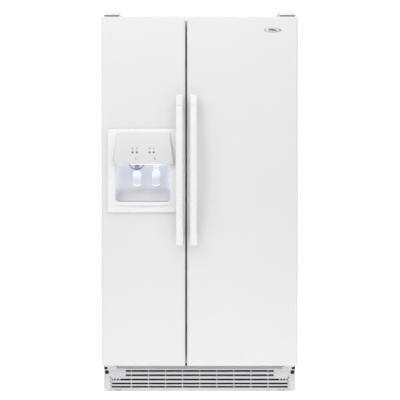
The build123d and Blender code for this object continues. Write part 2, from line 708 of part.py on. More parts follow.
fridge_gasket = door_gasket((-54, 430))
fridge_gasket.part.label = "fridge_gasket"
export_step(fridge_gasket.part, "parts/fridge_gasket.step")


def handle(middle):
    """A bowed handle: a long bar between two end caps that curve down to the door."""
    left = middle - handle_wide / 2
    low, high = handle_joints
    end_front = handle_front + 25
    centre = (low + high) / 2
    with BuildPart() as pull:
        with BuildSketch(Plane.YZ.offset(left)) as bar:
            with BuildLine():
                ThreePointArc((end_front, low), (handle_front, centre), (end_front, high))
                Line((end_front, high), (end_front + handle_thick, high))
                ThreePointArc(
                    (end_front + handle_thick, high),
                    (handle_front + handle_thick, centre),
                    (end_front + handle_thick, low),
                )
                Line((end_front + handle_thick, low), (end_front, low))
            make_face()
        extrude(amount=handle_wide)
        fillet(pull.edges().filter_by(GeomType.CIRCLE), 6)
        for joint, end in zip(handle_joints, handle_ends):
            way = 1 if end > joint else -1
            seam = joint + way * gap
            with BuildSketch(Plane.YZ.offset(left)) as cap:
                with BuildLine():
                    ThreePointArc(
                        (end_front, seam),
                        (end_front + 9, (seam + end) / 2 + way * 5),
                        (door_front - 0.1, end),
                    )
                    Line((door_front - 0.1, end), (door_front - 0.1, seam + way * 8))
                    Line((door_front - 0.1, seam + way * 8), (end_front + handle_thick, seam))
                    Line((end_front + handle_thick, seam), (end_front, seam))
                make_face()
            with BuildPart(mode=Mode.PRIVATE) as cap_solid:
                extrude(cap.sketch, amount=handle_wide)
                fillet(cap_solid.edges().filter_by(GeomType.CIRCLE), 6)
            add(cap_solid.part)
    return pull


freezer_handle = handle(-92.5)
freezer_handle.part.label = "freezer_handle"
export_step(freezer_handle.part, "parts/freezer_handle.step")

fridge_handle = handle(-27.5)
fridge_handle.part.label = "fridge_handle"
export_step(fridge_handle.part, "parts/fridge_handle.step")


def door_bin(x, back, z, wall, parent):
    """One open-topped door bin, hung between the two dikes."""
    with BuildPart(mode=Mode.PRIVATE) as tub:
        block(x, (door_back + 0.3, back), z)
        fillet(tub.edges().filter_by(Axis.Z).group_by(Axis.Y)[-1], 18)
        fillet(tub.faces().sort_by(Axis.Z)[0].edges(), 3.5)
        offset(amount=-wall, openings=tub.faces().sort_by(Axis.Z)[-1])
    parent.append(tub.part)


freezer_bin_x = inside(freezer_dike_x, dike_wide + 0.5)
fridge_bin_x = inside(fridge_dike_x, dike_wide + 0.5)
freezer_bin_back = -224
fridge_bin_back = -213
freezer_bin_heights = (250, 440, 630, 1290, 1480)
fridge_bin_heights = (260, 560, 840, 1100, 1330)
bin_high = 100
dairy_z = (1500, 1612)
dairy_front = -214

with BuildPart() as freezer_door_bins:
    tubs = []
    for height in freezer_bin_heights:
        door_bin(freezer_bin_x, freezer_bin_back, (height, height + bin_high), 2.5, tubs)
    add(tubs)
freezer_door_bins.part.label = "freezer_door_bins"
export_step(freezer_door_bins.part, "parts/freezer_door_bins.step")

with BuildPart() as fridge_door_bins:
    tubs = []
    for height in fridge_bin_heights:
        door_bin(fridge_bin_x, fridge_bin_back, (height, height + bin_high), 2.5, tubs)
    add(tubs)
    block(fridge_bin_x, (door_back + 0.3, dairy_front - 6), (dairy_z[0], dairy_z[0] + 3))
    block(fridge_bin_x, (door_back + 0.3, dairy_front - 31), (dairy_z[1] - 3, dairy_z[1]))
    for x in (fridge_bin_x[0], fridge_bin_x[1] - 3):
        block((x, x + 3), (door_back + 0.3, dairy_front - 6), dairy_z)
        rod((x, dairy_front - 12, dairy_z[1] - 10), (1, 0, 0), 3, 2.5 + running, Mode.SUBTRACT)
fridge_door_bins.part.label = "fridge_door_bins"
export_step(fridge_door_bins.part, "parts/fridge_door_bins.step")

with BuildPart() as dairy_lid:
    lid_x = inside(fridge_bin_x, 4)
    block(lid_x, (dairy_front - 4, dairy_front), (dairy_z[0] + 6, dairy_z[1] + 2))
    fillet(dairy_lid.edges().filter_by(Axis.Y), 4)
    for x in (lid_x[0], lid_x[1] - 6):
        block((x, x + 6), (dairy_front - 15, dairy_front - 3), (dairy_z[1] - 14, dairy_z[1] - 5))
    rod((fridge_bin_x[0] + 0.5, dairy_front - 12, dairy_z[1] - 10), (1, 0, 0), 12, 2.5)
    rod((fridge_bin_x[1] - 0.5, dairy_front - 12, dairy_z[1] - 10), (-1, 0, 0), 12, 2.5)
    block((140, 240), (dairy_front - 1, dairy_front + 7), (dairy_z[0] + 8, dairy_z[0] + 11))
dairy_lid.part.label = "dairy_lid"
export_step(dairy_lid.part, "parts/dairy_lid.step")

with BuildPart() as badge:
    with BuildSketch(Plane.XZ.offset(-door_front + 0.1)) as oval:
        with Locations((335, 1677)):
            Ellipse(40, 10.5)
    extrude(amount=2.5)
    fillet(badge.edges().group_by(Axis.Y)[0], 1.2)
badge.part.label = "badge"
export_step(badge.part, "parts/badge.step")

# ---- Dispenser -----------------------------------------------------------------------------
wall = 2.5
button_z = 1113
button_spots = (-305, -285, -227.5, -208.6)
button_names = ("cube_button", "crush_button", "lamp_button", "lock_button")
floor_bend = -335             # where the recess floor starts to rise
side_taper = 16
rim_y = (-352, -346)


def recess_room():
    """Room inside the dispenser: its sides lean inwards and its floor rises at the back."""
    with BuildPart(mode=Mode.PRIVATE) as room:
        with BuildSketch(Plane.YZ.offset(recess_x[0])) as profile:
            with BuildLine():
                Polyline(
                    (bezel_front - 1, recess_z[0]),
                    (floor_bend, recess_z[0]),
                    (recess_back, recess_z[0] + 44),
                    (recess_back, recess_z[1]),
                    (bezel_front - 1, recess_z[1]),
                    close=True,
                )
            make_face()
        extrude(amount=recess_x[1] - recess_x[0])
        with BuildSketch(Plane.XY.offset(recess_z[0])) as plan:
            with BuildLine():
                Polyline(
                    (recess_x[0], bezel_front - 1),
                    (recess_x[1], bezel_front - 1),
                    (recess_x[1] - side_taper, recess_back),
                    (recess_x[0] + side_taper, recess_back),
                    close=True,
                )
            make_face()
        extrude(amount=recess_z[1] - recess_z[0], mode=Mode.INTERSECT)
    return room.part


with BuildPart() as dispenser_housing:
    block(bezel_x, (bezel_front, door_front - 0.2), bezel_z)
    fillet(dispenser_housing.edges().filter_by(Axis.Y), 12)
    fillet(dispenser_housing.faces().sort_by(Axis.Y)[0].edges(), 6)
    block(inside(recess_x, -wall), (door_front - 1, recess_back + wall), (recess_z[0] - 8, recess_z[1] + wall))
    add(recess_room(), mode=Mode.SUBTRACT)
    block(inside(recess_x, 4), (bezel_front - 1, door_front + 1), (recess_z[1] + wall, 1190), Mode.SUBTRACT)
    tray_room_y = (bezel_front + 4, floor_bend - 1)
    block(inside(recess_x, 9), tray_room_y, (recess_z[0] - 4.5, recess_z[0] + 1), Mode.SUBTRACT)
    for x in (ice_x, water_x):
        block((x - 12, x + 12), (-332, -312), (recess_z[1] - 1, recess_z[1] + wall + 1), Mode.SUBTRACT)
        for lug in (x - 19, x + 15):
            block((lug, lug + 4), (-330, -314), (recess_z[1] + wall - 1, 1080))
            rod((lug - 1, paddle_pivot[0], paddle_pivot[1]), (1, 0, 0), 6, 3 + running, Mode.SUBTRACT)
    ceiling_z = (recess_z[1] - 1, recess_z[1] + wall + 1)
    block((ice_x - 33, ice_x + 33), (-372, -334), ceiling_z, Mode.SUBTRACT)
    block((ice_x - 40, ice_x + 40), inside(rim_y, -1), ceiling_z, Mode.SUBTRACT)
    rod((water_x, -346, recess_z[1] + wall), (0, 0, -1), 28, 13)
    rod((water_x, -346, recess_z[1] + wall + 1), (0, 0, -1), 40, 4, Mode.SUBTRACT)
dispenser_housing.part.label = "dispenser_housing"
export_step(dispenser_housing.part, "parts/dispenser_housing.step")


def hood_shell(inset):
    """Outer form of the control hood, smaller by an inset: a bowed profile with leaning sides."""
    back = bezel_front - 0.2
    with BuildPart(mode=Mode.PRIVATE) as form:
        with BuildSketch(Plane.YZ.offset(hood_foot_x[0])) as profile:
            with BuildLine():
                Line((back, hood_z[0] + inset), (hood_front + 6 + inset, hood_z[0] + inset))
                ThreePointArc(
                    (hood_front + 6 + inset, hood_z[0] + inset),
                    (hood_front + inset, 1085),
                    (hood_front + 2 + inset, 1112),
                )
                ThreePointArc(
                    (hood_front + 2 + inset, 1112),
                    (hood_front + 9 + inset, 1165),
                    (back, hood_z[1] - inset),
                )
                Line((back, hood_z[1] - inset), (back, hood_z[0] + inset))
            make_face()
        extrude(amount=hood_foot_x[1] - hood_foot_x[0])
        with BuildSketch(Plane.XZ.offset(-bezel_front - 50)) as front:
            with BuildLine():
                Polyline(
                    (hood_foot_x[0] + inset, hood_z[0]),
                    (hood_foot_x[1] - inset, hood_z[0]),
                    (hood_head_x[1] - inset, hood_z[1]),
                    (hood_head_x[0] + inset, hood_z[1]),
                    close=True,
                )
            make_face()
        extrude(amount=100, mode=Mode.INTERSECT)
    return form.part


with BuildPart() as control_panel:
    add(hood_shell(0))
    fillet(control_panel.edges().group_by(Axis.X)[0] + control_panel.edges().group_by(Axis.X)[-1], 2)
    add(hood_shell(3), mode=Mode.SUBTRACT)
    block((ice_x - 36, ice_x + 36), (-377, -360), (hood_z[0] - 1, hood_z[0] + 4), Mode.SUBTRACT)
    for x in button_spots:
        rod((x, hood_front - 10, button_z), (0, 1, 0), 20, 5.4, Mode.SUBTRACT)
    for x in button_spots:
        with BuildPart(mode=Mode.PRIVATE) as collar:
            rod((x, hood_front + 4, button_z), (0, 1, 0), 12, 7.4)
            rod((x, hood_front - 1, button_z), (0, 1, 0), 20, 5.4, Mode.SUBTRACT)
        add(collar.part)
control_panel.part.label = "control_panel"
export_step(control_panel.part, "parts/control_panel.step")

for name, x in zip(button_names, button_spots):
    with BuildPart() as button:
        rod((x, hood_front + 0.4, button_z), (0, 1, 0), 14, 5)
        fillet(button.edges().group_by(Axis.Y)[0], 1)
    button.part.label = name
    export_step(button.part, "parts/" + name + ".step")


def chute_profile(margin, reach):
    """Side profile of the ice chute, smaller by a margin and longer by a reach at both mouths."""
    with BuildSketch(Plane.YZ.offset(ice_x - 35 + margin)) as profile:
        with BuildLine():
            Polyline(
                (-263 + reach, 1246 - margin),
                (-263 + reach, 1168 + margin),
                (-330 - margin, 1120 + margin * 0.6),
                (-330 - margin, 1066 - reach),
                (-366 + margin, 1066 - reach),
                (-366 + margin, 1140 - margin * 0.6),
                (-318 + margin, 1246 - margin),
                close=True,
            )
        make_face()
    return profile.sketch


flap_pivot = (-335, 1096)
with BuildPart() as ice_chute:
    extrude(chute_profile(0, 0), amount=70)
    extrude(chute_profile(2.5, 5), amount=65, mode=Mode.SUBTRACT)
    for x in (ice_x - 36, ice_x + 31):
        rod((x, flap_pivot[0], flap_pivot[1]), (1, 0, 0), 5, 1.5 + running, Mode.SUBTRACT)
    with BuildSketch(Plane.XZ.offset(-rim_y[1])) as mouth:
        with Locations((ice_x, 1074)):
            Circle(38)
            Circle(34, mode=Mode.SUBTRACT)
            with Locations((0, 24)):
                Rectangle(80, 60, mode=Mode.SUBTRACT)
    extrude(amount=rim_y[1] - rim_y[0])
ice_chute.part.label = "ice_chute"
export_step(ice_chute.part, "parts/ice_chute.step")

with BuildPart() as chute_flap:
    rod((ice_x - 34.5, flap_pivot[0], flap_pivot[1]), (1, 0, 0), 69, 1.5)
    block((ice_x - 31.5, ice_x + 31.5), (-362, flap_pivot[0]), (flap_pivot[1] - 1, flap_pivot[1] + 1))
chute_flap.part.label = "chute_flap"
export_step(chute_flap.part, "parts/chute_flap.step")


def paddle(x):
    """A dispenser paddle: a tapered cradle on an arm that turns on a cross pin."""
    y, z = paddle_pivot
    with BuildPart() as cradle:
        with BuildSketch(Plane.XY.offset(960)) as foot:
            with Locations((x, y - 10)):
                RectangleRounded(46, 20, 9)
        with BuildSketch(Plane.XY.offset(1032)) as head:
            with Locations((x, y - 9)):
                RectangleRounded(35, 16, 7)
        loft([foot.sketch, head.sketch])
        fillet(cradle.faces().sort_by(Axis.Z)[0].edges(), 5)
        fillet(cradle.faces().sort_by(Axis.Z)[-1].edges(), 3)
        block((x - 10.5, x + 10.5), (y - 4, y + 3), (1020, z))
        rod((x - 18.5, y, z), (1, 0, 0), 37, 3)
    return cradle


ice_paddle = paddle(ice_x)
ice_paddle.part.label = "ice_paddle"
export_step(ice_paddle.part, "parts/ice_paddle.step")

water_paddle = paddle(water_x)
water_paddle.part.label = "water_paddle"
export_step(water_paddle.part, "parts/water_paddle.step")

with BuildPart() as drip_tray:
    tray_x = inside(recess_x, 10)
    block(tray_x, inside(tray_room_y, 1), (recess_z[0] - 4, recess_z[0] + 1.5))
    fillet(drip_tray.edges().filter_by(Axis.Z), 4)
    for index in range(15):
        x = tray_x[0] + 8 + index * 15
        block((x, x + 6), inside(tray_room_y, 8), (recess_z[0] - 5, recess_z[0] + 2), Mode.SUBTRACT)
drip_tray.part.label = "drip_tray"
export_step(drip_tray.part, "parts/drip_tray.step")
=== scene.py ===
"""Side by side refrigerator: the visible pieces and their finishes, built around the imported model."""

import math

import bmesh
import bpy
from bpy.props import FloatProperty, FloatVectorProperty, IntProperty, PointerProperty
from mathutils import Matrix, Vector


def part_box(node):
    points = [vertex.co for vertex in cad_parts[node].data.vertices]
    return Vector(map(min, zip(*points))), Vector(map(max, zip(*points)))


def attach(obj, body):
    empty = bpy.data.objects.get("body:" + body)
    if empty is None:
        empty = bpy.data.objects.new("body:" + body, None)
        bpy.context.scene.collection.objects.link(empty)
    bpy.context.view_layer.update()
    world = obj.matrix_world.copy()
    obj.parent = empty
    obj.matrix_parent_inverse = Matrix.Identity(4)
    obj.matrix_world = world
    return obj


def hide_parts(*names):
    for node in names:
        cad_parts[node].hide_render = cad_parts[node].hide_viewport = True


bl_info = {
    "name": "Side by Side Refrigerator",
    "version": (1, 0, 0),
    "blender": (4, 5, 0),
    "location": "View3D > Sidebar > Refrigerator",
    "description": "Builds the visible pieces and finishes of a side by side refrigerator",
    "category": "Add Mesh",
}

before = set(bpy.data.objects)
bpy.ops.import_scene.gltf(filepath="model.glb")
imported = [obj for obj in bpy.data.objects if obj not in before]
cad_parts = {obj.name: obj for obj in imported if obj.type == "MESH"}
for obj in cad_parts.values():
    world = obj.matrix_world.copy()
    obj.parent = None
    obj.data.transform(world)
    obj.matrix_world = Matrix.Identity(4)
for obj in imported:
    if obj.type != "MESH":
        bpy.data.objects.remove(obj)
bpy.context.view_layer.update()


# ---- Sizes and colours ---------------------------------------------------------------------
def size(label, note, value):
    """A length that a user may change, in metres."""
    return FloatProperty(name=label, description=note, default=value, unit="LENGTH", precision=4)


def colour(label, note, value):
    """A finish's base colour."""
    return FloatVectorProperty(
        name=label, description=note, default=value, subtype="COLOR", size=3, min=0, max=1
    )


class RefrigeratorSizes(bpy.types.PropertyGroup):
    """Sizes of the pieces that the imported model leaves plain."""

    door_edge: size("Door edge", "Rounding of the doors' front edges", 0.010)
    door_corner: size("Door corner", "Rounding of the doors' corners seen from the front", 0.003)
    sheet: size("Sheet", "Thickness of the painted steel", 0.001)
    wall: size("Wall", "Thickness of moulded plastic walls", 0.0025)
    handle_thick: size("Handle thickness", "Front to back thickness of the door handles", 0.022)
    handle_upper_seam: size("Upper seam", "Height of the joint under a handle's top cap", 1.326)
    handle_lower_seam: size("Lower seam", "Height of the joint over a handle's bottom cap", 0.752)
    handle_bow: size("Handle bow", "How much further out the middle of a handle stands", 0.025)
    recess_left: size("Recess left", "Left side of the dispenser's opening", -0.386)
    recess_right: size("Recess right", "Right side of the dispenser's opening", -0.134)
    recess_floor: size("Recess floor", "Floor of the dispenser's opening", 0.892)
    recess_top: size("Recess top", "Ceiling of the dispenser's opening", 1.061)
    recess_back: size("Recess back", "Back wall of the dispenser's opening", -0.305)
    recess_bend: size("Floor bend", "Where the dispenser's floor starts to rise", -0.335)
    recess_rise: size("Floor rise", "How much the dispenser's floor rises to the back", 0.044)
    recess_taper: size("Recess taper", "How much each side of the dispenser leans in", 0.016)
    hood_head: size("Hood top", "Half width of the control hood at its top", 0.121)
    grille_slot: size("Grille slot", "Height of a slot in the base grille", 0.0085)
    grille_rib_pitch: size("Rib pitch", "Distance between the base grille's ribs", 0.080)


class RefrigeratorColours(bpy.types.PropertyGroup):
    """Base colours of the finishes."""

    enamel: colour("Enamel", "Painted doors and cabinet", (0.77, 0.77, 0.775))
    plastic: colour("White plastic", "Handles, dispenser and covers", (0.84, 0.84, 0.845))
    hood: colour("Hood plastic", "Control hood", (0.72, 0.72, 0.73))
    recess: colour("Recess plastic", "Inside of the dispenser", (0.70, 0.70, 0.72))
    grille: colour("Grille plastic", "Base grille", (0.68, 0.68, 0.69))
    liner: colour("Liner plastic", "Insides of cabinet and doors", (0.80, 0.81, 0.82))
    ink: colour("Printed ink", "Small symbols", (0.35, 0.35, 0.37))


def sizes():
    """The sizes in use."""
    return bpy.context.scene.refrigerator_sizes


def colours():
    """The colours in use."""
    return bpy.context.scene.refrigerator_colours


# ---- Finishes ------------------------------------------------------------------------------
def new_finish(name):
    """An empty node material with its shader, ready for a pattern on Object coordinates."""
    material = bpy.data.materials.new(name)
    material.use_nodes = True
    tree = material.node_tree
    shader = tree.nodes["Principled BSDF"]
    place = tree.nodes.new("ShaderNodeTexCoord")
    return material, tree, shader, place.outputs["Object"]


def noise(tree, place, scale, detail=2.0, stretch=None):
    """A noise pattern, with an optional stretch along each axis."""
    if stretch:
        mapping = tree.nodes.new("ShaderNodeMapping")
        mapping.inputs["Scale"].default_value = stretch
        tree.links.new(place, mapping.inputs["Vector"])
        place = mapping.outputs["Vector"]
    texture = tree.nodes.new("ShaderNodeTexNoise")
    texture.inputs["Scale"].default_value = scale
    texture.inputs["Detail"].default_value = detail
    tree.links.new(place, texture.inputs["Vector"])
    return texture.outputs["Fac"]


def spread(tree, factor, low, high):
    """Turn a pattern into a number between two limits."""
    span = tree.nodes.new("ShaderNodeMapRange")
    span.inputs["From Min"].default_value = 0.3
    span.inputs["From Max"].default_value = 0.7
    span.inputs["To Min"].default_value = low
    span.inputs["To Max"].default_value = high
    tree.links.new(factor, span.inputs["Value"])
    return span.outputs["Result"]


def tint(tree, factor, base, strength):
    """Vary a base colour slightly, darker and lighter, with a pattern."""
    ramp = tree.nodes.new("ShaderNodeValToRGB")
    ramp.color_ramp.elements[0].position = 0.3
    ramp.color_ramp.elements[1].position = 0.7
    ramp.color_ramp.elements[0].color = [max(0, c * (1 - strength)) for c in base] + [1]
    ramp.color_ramp.elements[1].color = [min(1, c * (1 + strength)) for c in base] + [1]
    tree.links.new(factor, ramp.inputs["Fac"])
    return ramp.outputs["Color"]


def base_colour(tree, shader, factor, base, strength):
    """Give a shader its base colour, slightly varied by a pattern."""
    tree.links.new(tint(tree, factor, base, strength), shader.inputs["Base Color"])


def gloss(tree, shader, factor, low, high):
    """Let a shader's roughness wander between two limits."""
    tree.links.new(spread(tree, factor, low, high), shader.inputs["Roughness"])


def relief(tree, shader, height, distance, strength=1.0):
    """Raise a pattern a little on the surface."""
    bump = tree.nodes.new("ShaderNodeBump")
    bump.inputs["Distance"].default_value = distance
    bump.inputs["Strength"].default_value = strength
    tree.links.new(height, bump.inputs["Height"])
    tree.links.new(bump.outputs["Normal"], shader.inputs["Normal"])


def enamel(name, base, roughness=0.30):
    """Baked gloss enamel: a fine orange peel and slight unevenness of tone."""
    material, tree, shader, place = new_finish(name)
    tone = noise(tree, place, 3.0)
    base_colour(tree, shader, tone, base, 0.006)
    gloss(tree, shader, noise(tree, place, 40.0), roughness - 0.02, roughness + 0.03)
    relief(tree, shader, noise(tree, place, 420.0, 1.0), 0.00003, 0.08)
    return material


def moulded(name, base, roughness=0.35, grain=900.0, depth=0.00004, variation=0.008):
    """Moulded plastic: satin, with a fine moulding grain."""
    material, tree, shader, place = new_finish(name)
    base_colour(tree, shader, noise(tree, place, 6.0), base, variation)
    gloss(tree, shader, noise(tree, place, 60.0), roughness - 0.04, roughness + 0.05)
    relief(tree, shader, noise(tree, place, grain, 2.0), depth, 0.12)
    return material


def plated_steel(name, base, roughness=0.38, stretch=(1, 1, 1)):
    """Zinc plated sheet or rolled metal, with drawn streaks and a faint spangle."""
    material, tree, shader, place = new_finish(name)
    shader.inputs["Metallic"].default_value = 0.95
    streaks = noise(tree, place, 120.0, 4.0, stretch)
    base_colour(tree, shader, streaks, base, 0.10)
    gloss(tree, shader, noise(tree, place, 18.0, 4.0), roughness - 0.08, roughness + 0.12)
    relief(tree, shader, streaks, 0.00005, 0.4)
    return material


def chrome(name):
    """Bright plate."""
    material, tree, shader, place = new_finish(name)
    shader.inputs["Metallic"].default_value = 1.0
    base_colour(tree, shader, noise(tree, place, 30.0), (0.66, 0.67, 0.69), 0.03)
    gloss(tree, shader, noise(tree, place, 200.0), 0.08, 0.16)
    return material


def clear(name, base, roughness, alpha, weight):
    """Clear plastic or glass, faintly tinted, with a little surface haze."""
    material, tree, shader, place = new_finish(name)
    base_colour(tree, shader, noise(tree, place, 5.0), base, 0.01)
    gloss(tree, shader, noise(tree, place, 80.0), roughness, roughness + 0.06)
    shader.inputs["IOR"].default_value = 1.46
    shader.inputs["Transmission Weight"].default_value = weight
    shader.inputs["Alpha"].default_value = alpha
    return material


def rubber(name, base):
    """Soft vinyl or rubber: matt, with a fine skin texture."""
    material, tree, shader, place = new_finish(name)
    base_colour(tree, shader, noise(tree, place, 25.0), base, 0.03)
    gloss(tree, shader, noise(tree, place, 300.0), 0.6, 0.75)
    relief(tree, shader, noise(tree, place, 1200.0), 0.00005, 0.5)
    return material


def foam(name):
    """Rigid foam: pale, dull and full of fine cells."""
    material, tree, shader, place = new_finish(name)
    cells = tree.nodes.new("ShaderNodeTexVoronoi")
    cells.inputs["Scale"].default_value = 700.0
    tree.links.new(place, cells.inputs["Vector"])
    base_colour(tree, shader, cells.outputs["Distance"], (0.78, 0.73, 0.58), 0.08)
    shader.inputs["Roughness"].default_value = 0.9
    relief(tree, shader, cells.outputs["Distance"], 0.0002, 0.6)
    return material


def lens_and_painted_glow(name, base, strength):
    """Pale plastic that gives a little light: a lamp's lens, and painted light on pieces that are no lamps.
    """
    material = moulded(name, base, 0.3)
    shader = material.node_tree.nodes["Principled BSDF"]
    shader.inputs["Emission Color"].default_value = (*base, 1)
    shader.inputs["Emission Strength"].default_value = strength
    return material


def painted_lamp_light(name, base, glow, dark_height, bright_height, strength):
    """Plastic with painted light: an emission that rises with height paints a lamp's light from above onto
    it, strongest at its top.
    """
    material = moulded(name, base, 0.3)
    tree = material.node_tree
    shader = tree.nodes["Principled BSDF"]
    place = next(node for node in tree.nodes if node.bl_idname == "ShaderNodeTexCoord")
    axes = tree.nodes.new("ShaderNodeSeparateXYZ")
    tree.links.new(place.outputs["Object"], axes.inputs["Vector"])
    rise = tree.nodes.new("ShaderNodeMapRange")
    rise.interpolation_type = "SMOOTHSTEP"
    rise.inputs["From Min"].default_value = dark_height
    rise.inputs["From Max"].default_value = bright_height
    rise.inputs["To Max"].default_value = strength
    tree.links.new(axes.outputs["Z"], rise.inputs["Value"])
    shader.inputs["Emission Color"].default_value = (*glow, 1)
    tree.links.new(rise.outputs["Result"], shader.inputs["Emission Strength"])
    return material


FINISHES = {
    "white_paint": lambda: enamel("white_enamel", colours().enamel),
    "white_plastic": lambda: moulded("white_plastic", colours().plastic, 0.30),
    "liner_plastic": lambda: moulded("liner_plastic", colours().liner, 0.33, 500.0),
    "hood_plastic": lambda: moulded("hood_plastic", colours().hood, 0.34),
    # The recess's walls get painted light: a glow that grows towards the ceiling, as if lit by the recess
    # lamp.
    "recess_plastic_painted_glow": lambda: painted_lamp_light(
        "recess_plastic_painted_glow", colours().recess, (0.84, 0.86, 1.0), 0.925, 0.965, 0.20
    ),
    "badge_ink": lambda: moulded("badge_ink", (0.07, 0.07, 0.08), 0.30),
    # The paddle rims glow a little: a painted highlight along their feet.
    "rim_painted_glow": lambda: lens_and_painted_glow("rim_painted_glow", (0.90, 0.91, 0.94), 0.22),
    "tray_plastic": lambda: moulded("tray_plastic", (0.36, 0.36, 0.38), 0.40),
    "chute_plastic": lambda: moulded("chute_plastic", (0.22, 0.23, 0.30), 0.35),
    "grille_plastic": lambda: moulded("grille_plastic", colours().grille, 0.38),
    "grey_plastic": lambda: moulded("grey_plastic", (0.42, 0.43, 0.46), 0.42, 700.0, 0.00006, 0.02),
    "button_plastic": lambda: moulded("button_plastic", (0.20, 0.20, 0.215), 0.40),
    "pale_plastic": lambda: moulded("pale_plastic", (0.72, 0.73, 0.77), 0.32),
    # The paddles get painted light: a bluish glow towards their tops, as if lit by the lamp over them.
    "paddle_plastic_painted_glow": lambda: painted_lamp_light(
        "paddle_plastic_painted_glow", (0.74, 0.74, 0.80), (0.66, 0.82, 1.0), 0.985, 1.030, 0.50
    ),
    "dark_plastic": lambda: moulded("dark_plastic", (0.03, 0.03, 0.032), 0.45, 600.0, 0.00008, 0.05),
    "nozzle_painted_glow": lambda: lens_and_painted_glow("nozzle_painted_glow", (0.66, 0.76, 0.90), 0.25),
    "ink": lambda: moulded("printed_ink", colours().ink, 0.5),
    "foam": lambda: foam("rigid_foam"),
    "steel": lambda: plated_steel("plated_steel", (0.56, 0.57, 0.58)),
    "sheet_steel": lambda: plated_steel("galvanised_sheet", (0.50, 0.51, 0.52), 0.45, (1, 1, 0.1)),
    "aluminium": lambda: plated_steel("aluminium", (0.74, 0.75, 0.76), 0.32, (0.2, 1, 1)),
    "black_metal": lambda: enamel("black_enamel", (0.012, 0.012, 0.013), 0.34),
    "wire": lambda: enamel("white_coated_wire", (0.82, 0.82, 0.82), 0.3),
    "glass": lambda: clear("shelf_glass", (0.82, 0.93, 0.89), 0.02, 0.45, 0.6),
    "clear_plastic": lambda: clear("clear_plastic", (0.84, 0.90, 0.94), 0.10, 0.55, 0.4),
    "gasket_rubber": lambda: rubber("gasket_vinyl", (0.70, 0.70, 0.70)),
    "dark_rubber": lambda: rubber("dark_rubber", (0.02, 0.02, 0.02)),
    "chrome": lambda: chrome("bright_plate"),
    "lamp": lambda: lens_and_painted_glow("lamp_lens", (0.80, 0.88, 1.0), 1.6),
}
made_finishes = {}


def finish(name):
    """The finish of that name, made the first time that it is asked for."""
    if name not in made_finishes:
        made_finishes[name] = FINISHES[name]()
    return made_finishes[name]


# ---- Mesh tools ----------------------------------------------------------------------------
def rounded_rect(low, high, radius, corner=5):
    """Points of a rectangle with rounded corners, in order round it."""
    radius = max(min(radius, (high[0] - low[0]) / 2 - 1e-5, (high[1] - low[1]) / 2 - 1e-5), 1e-5)
    centres = (
        (high[0] - radius, low[1] + radius, -90),
        (high[0] - radius, high[1] - radius, 0),
        (low[0] + radius, high[1] - radius, 90),
        (low[0] + radius, low[1] + radius, 180),
    )
    points = []
    for x, z, start in centres:
        for step in range(corner + 1):
            angle = math.radians(start + 90 * step / corner)
            points.append((x + radius * math.cos(angle), z + radius * math.sin(angle)))
    return points


def upright_ring(low, high, radius, y, corner=5):
    """A rounded rectangle that faces the front, at a depth y. Low and high are (x, z)."""
    return [Vector((x, y, z)) for x, z in rounded_rect(low, high, radius, corner)]


def level_ring(low, high, radius, z, corner=5):
    """A rounded rectangle that lies flat, at a height z. Low and high are (x, y)."""
    return [Vector((x, y, z)) for x, y in rounded_rect(low, high, radius, corner)]


def circle_ring(centre, axis, radius, count=24):
    """A circle round a point, square to an axis."""
    turn = Vector(axis).to_track_quat("Z", "Y")
    ring = []
    for step in range(count):
        angle = 2 * math.pi * step / count
        ring.append(Vector(centre) + turn @ Vector((radius * math.cos(angle), radius * math.sin(angle), 0)))
    return ring


def join_rings(bm, rings, caps=(True, True), closed=False):
    """Join rings of equally many points into a skin, with flat ends or closed on itself."""
    rows = [[bm.verts.new(point) for point in ring] for ring in rings]
    count = len(rows[0])
    pairs = list(zip(rows, rows[1:]))
    if closed:
        pairs.append((rows[-1], rows[0]))
    for first, second in pairs:
        for index in range(count):
            after = (index + 1) % count
            bm.faces.new((first[index], first[after], second[after], second[index]))
    if not closed and caps[0]:
        bm.faces.new(rows[0])
    if not closed and caps[1]:
        bm.faces.new(list(reversed(rows[-1])))


def soft_box(bm, low, high, radius=0.001):
    """A box with rounded edges."""
    middle = (Vector(low) + Vector(high)) / 2
    span = Vector(high) - Vector(low)
    made = bmesh.ops.create_cube(bm, size=1, matrix=Matrix.Translation(middle) @ Matrix.Diagonal((*span, 1)))
    if radius > 0:
        edges = list({edge for vert in made["verts"] for edge in vert.link_edges})
        radius = min(radius, min(span) * 0.45)
        bmesh.ops.bevel(
            bm, geom=edges, offset=radius, segments=2, profile=0.5, affect="EDGES", clamp_overlap=True
        )


def quarter(count):
    """Steps of a quarter turn, as (inset, depth) shares from the side round to the front."""
    return [
        (1 - math.cos(math.pi / 2 * step / count), 1 - math.sin(math.pi / 2 * step / count))
        for step in range(count + 1)
    ]


def add_piece(name, bm, body, finish_name, replaced=(), sharp=35):
    """Turn a finished bmesh into a piece that rides on a body and stands for CAD nodes."""
    bmesh.ops.remove_doubles(bm, verts=bm.verts, dist=1e-6)
    bmesh.ops.recalc_face_normals(bm, faces=bm.faces)
    mesh = bpy.data.meshes.new(name)
    bm.to_mesh(mesh)
    bm.free()
    for face in mesh.polygons:
        face.use_smooth = True
    mesh.set_sharp_from_angle(angle=math.radians(sharp))
    piece = bpy.data.objects.new(name, mesh)
    bpy.context.collection.objects.link(piece)
    mesh.materials.append(finish(finish_name))
    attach(piece, body)
    if replaced:
        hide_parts(*replaced)
    return piece


# ---- Doors ---------------------------------------------------------------------------------
def grown(low, high, amount):
    """Corner pair of a rectangle, moved outwards by an amount."""
    return (low[0] - amount, low[1] - amount), (high[0] + amount, high[1] + amount)


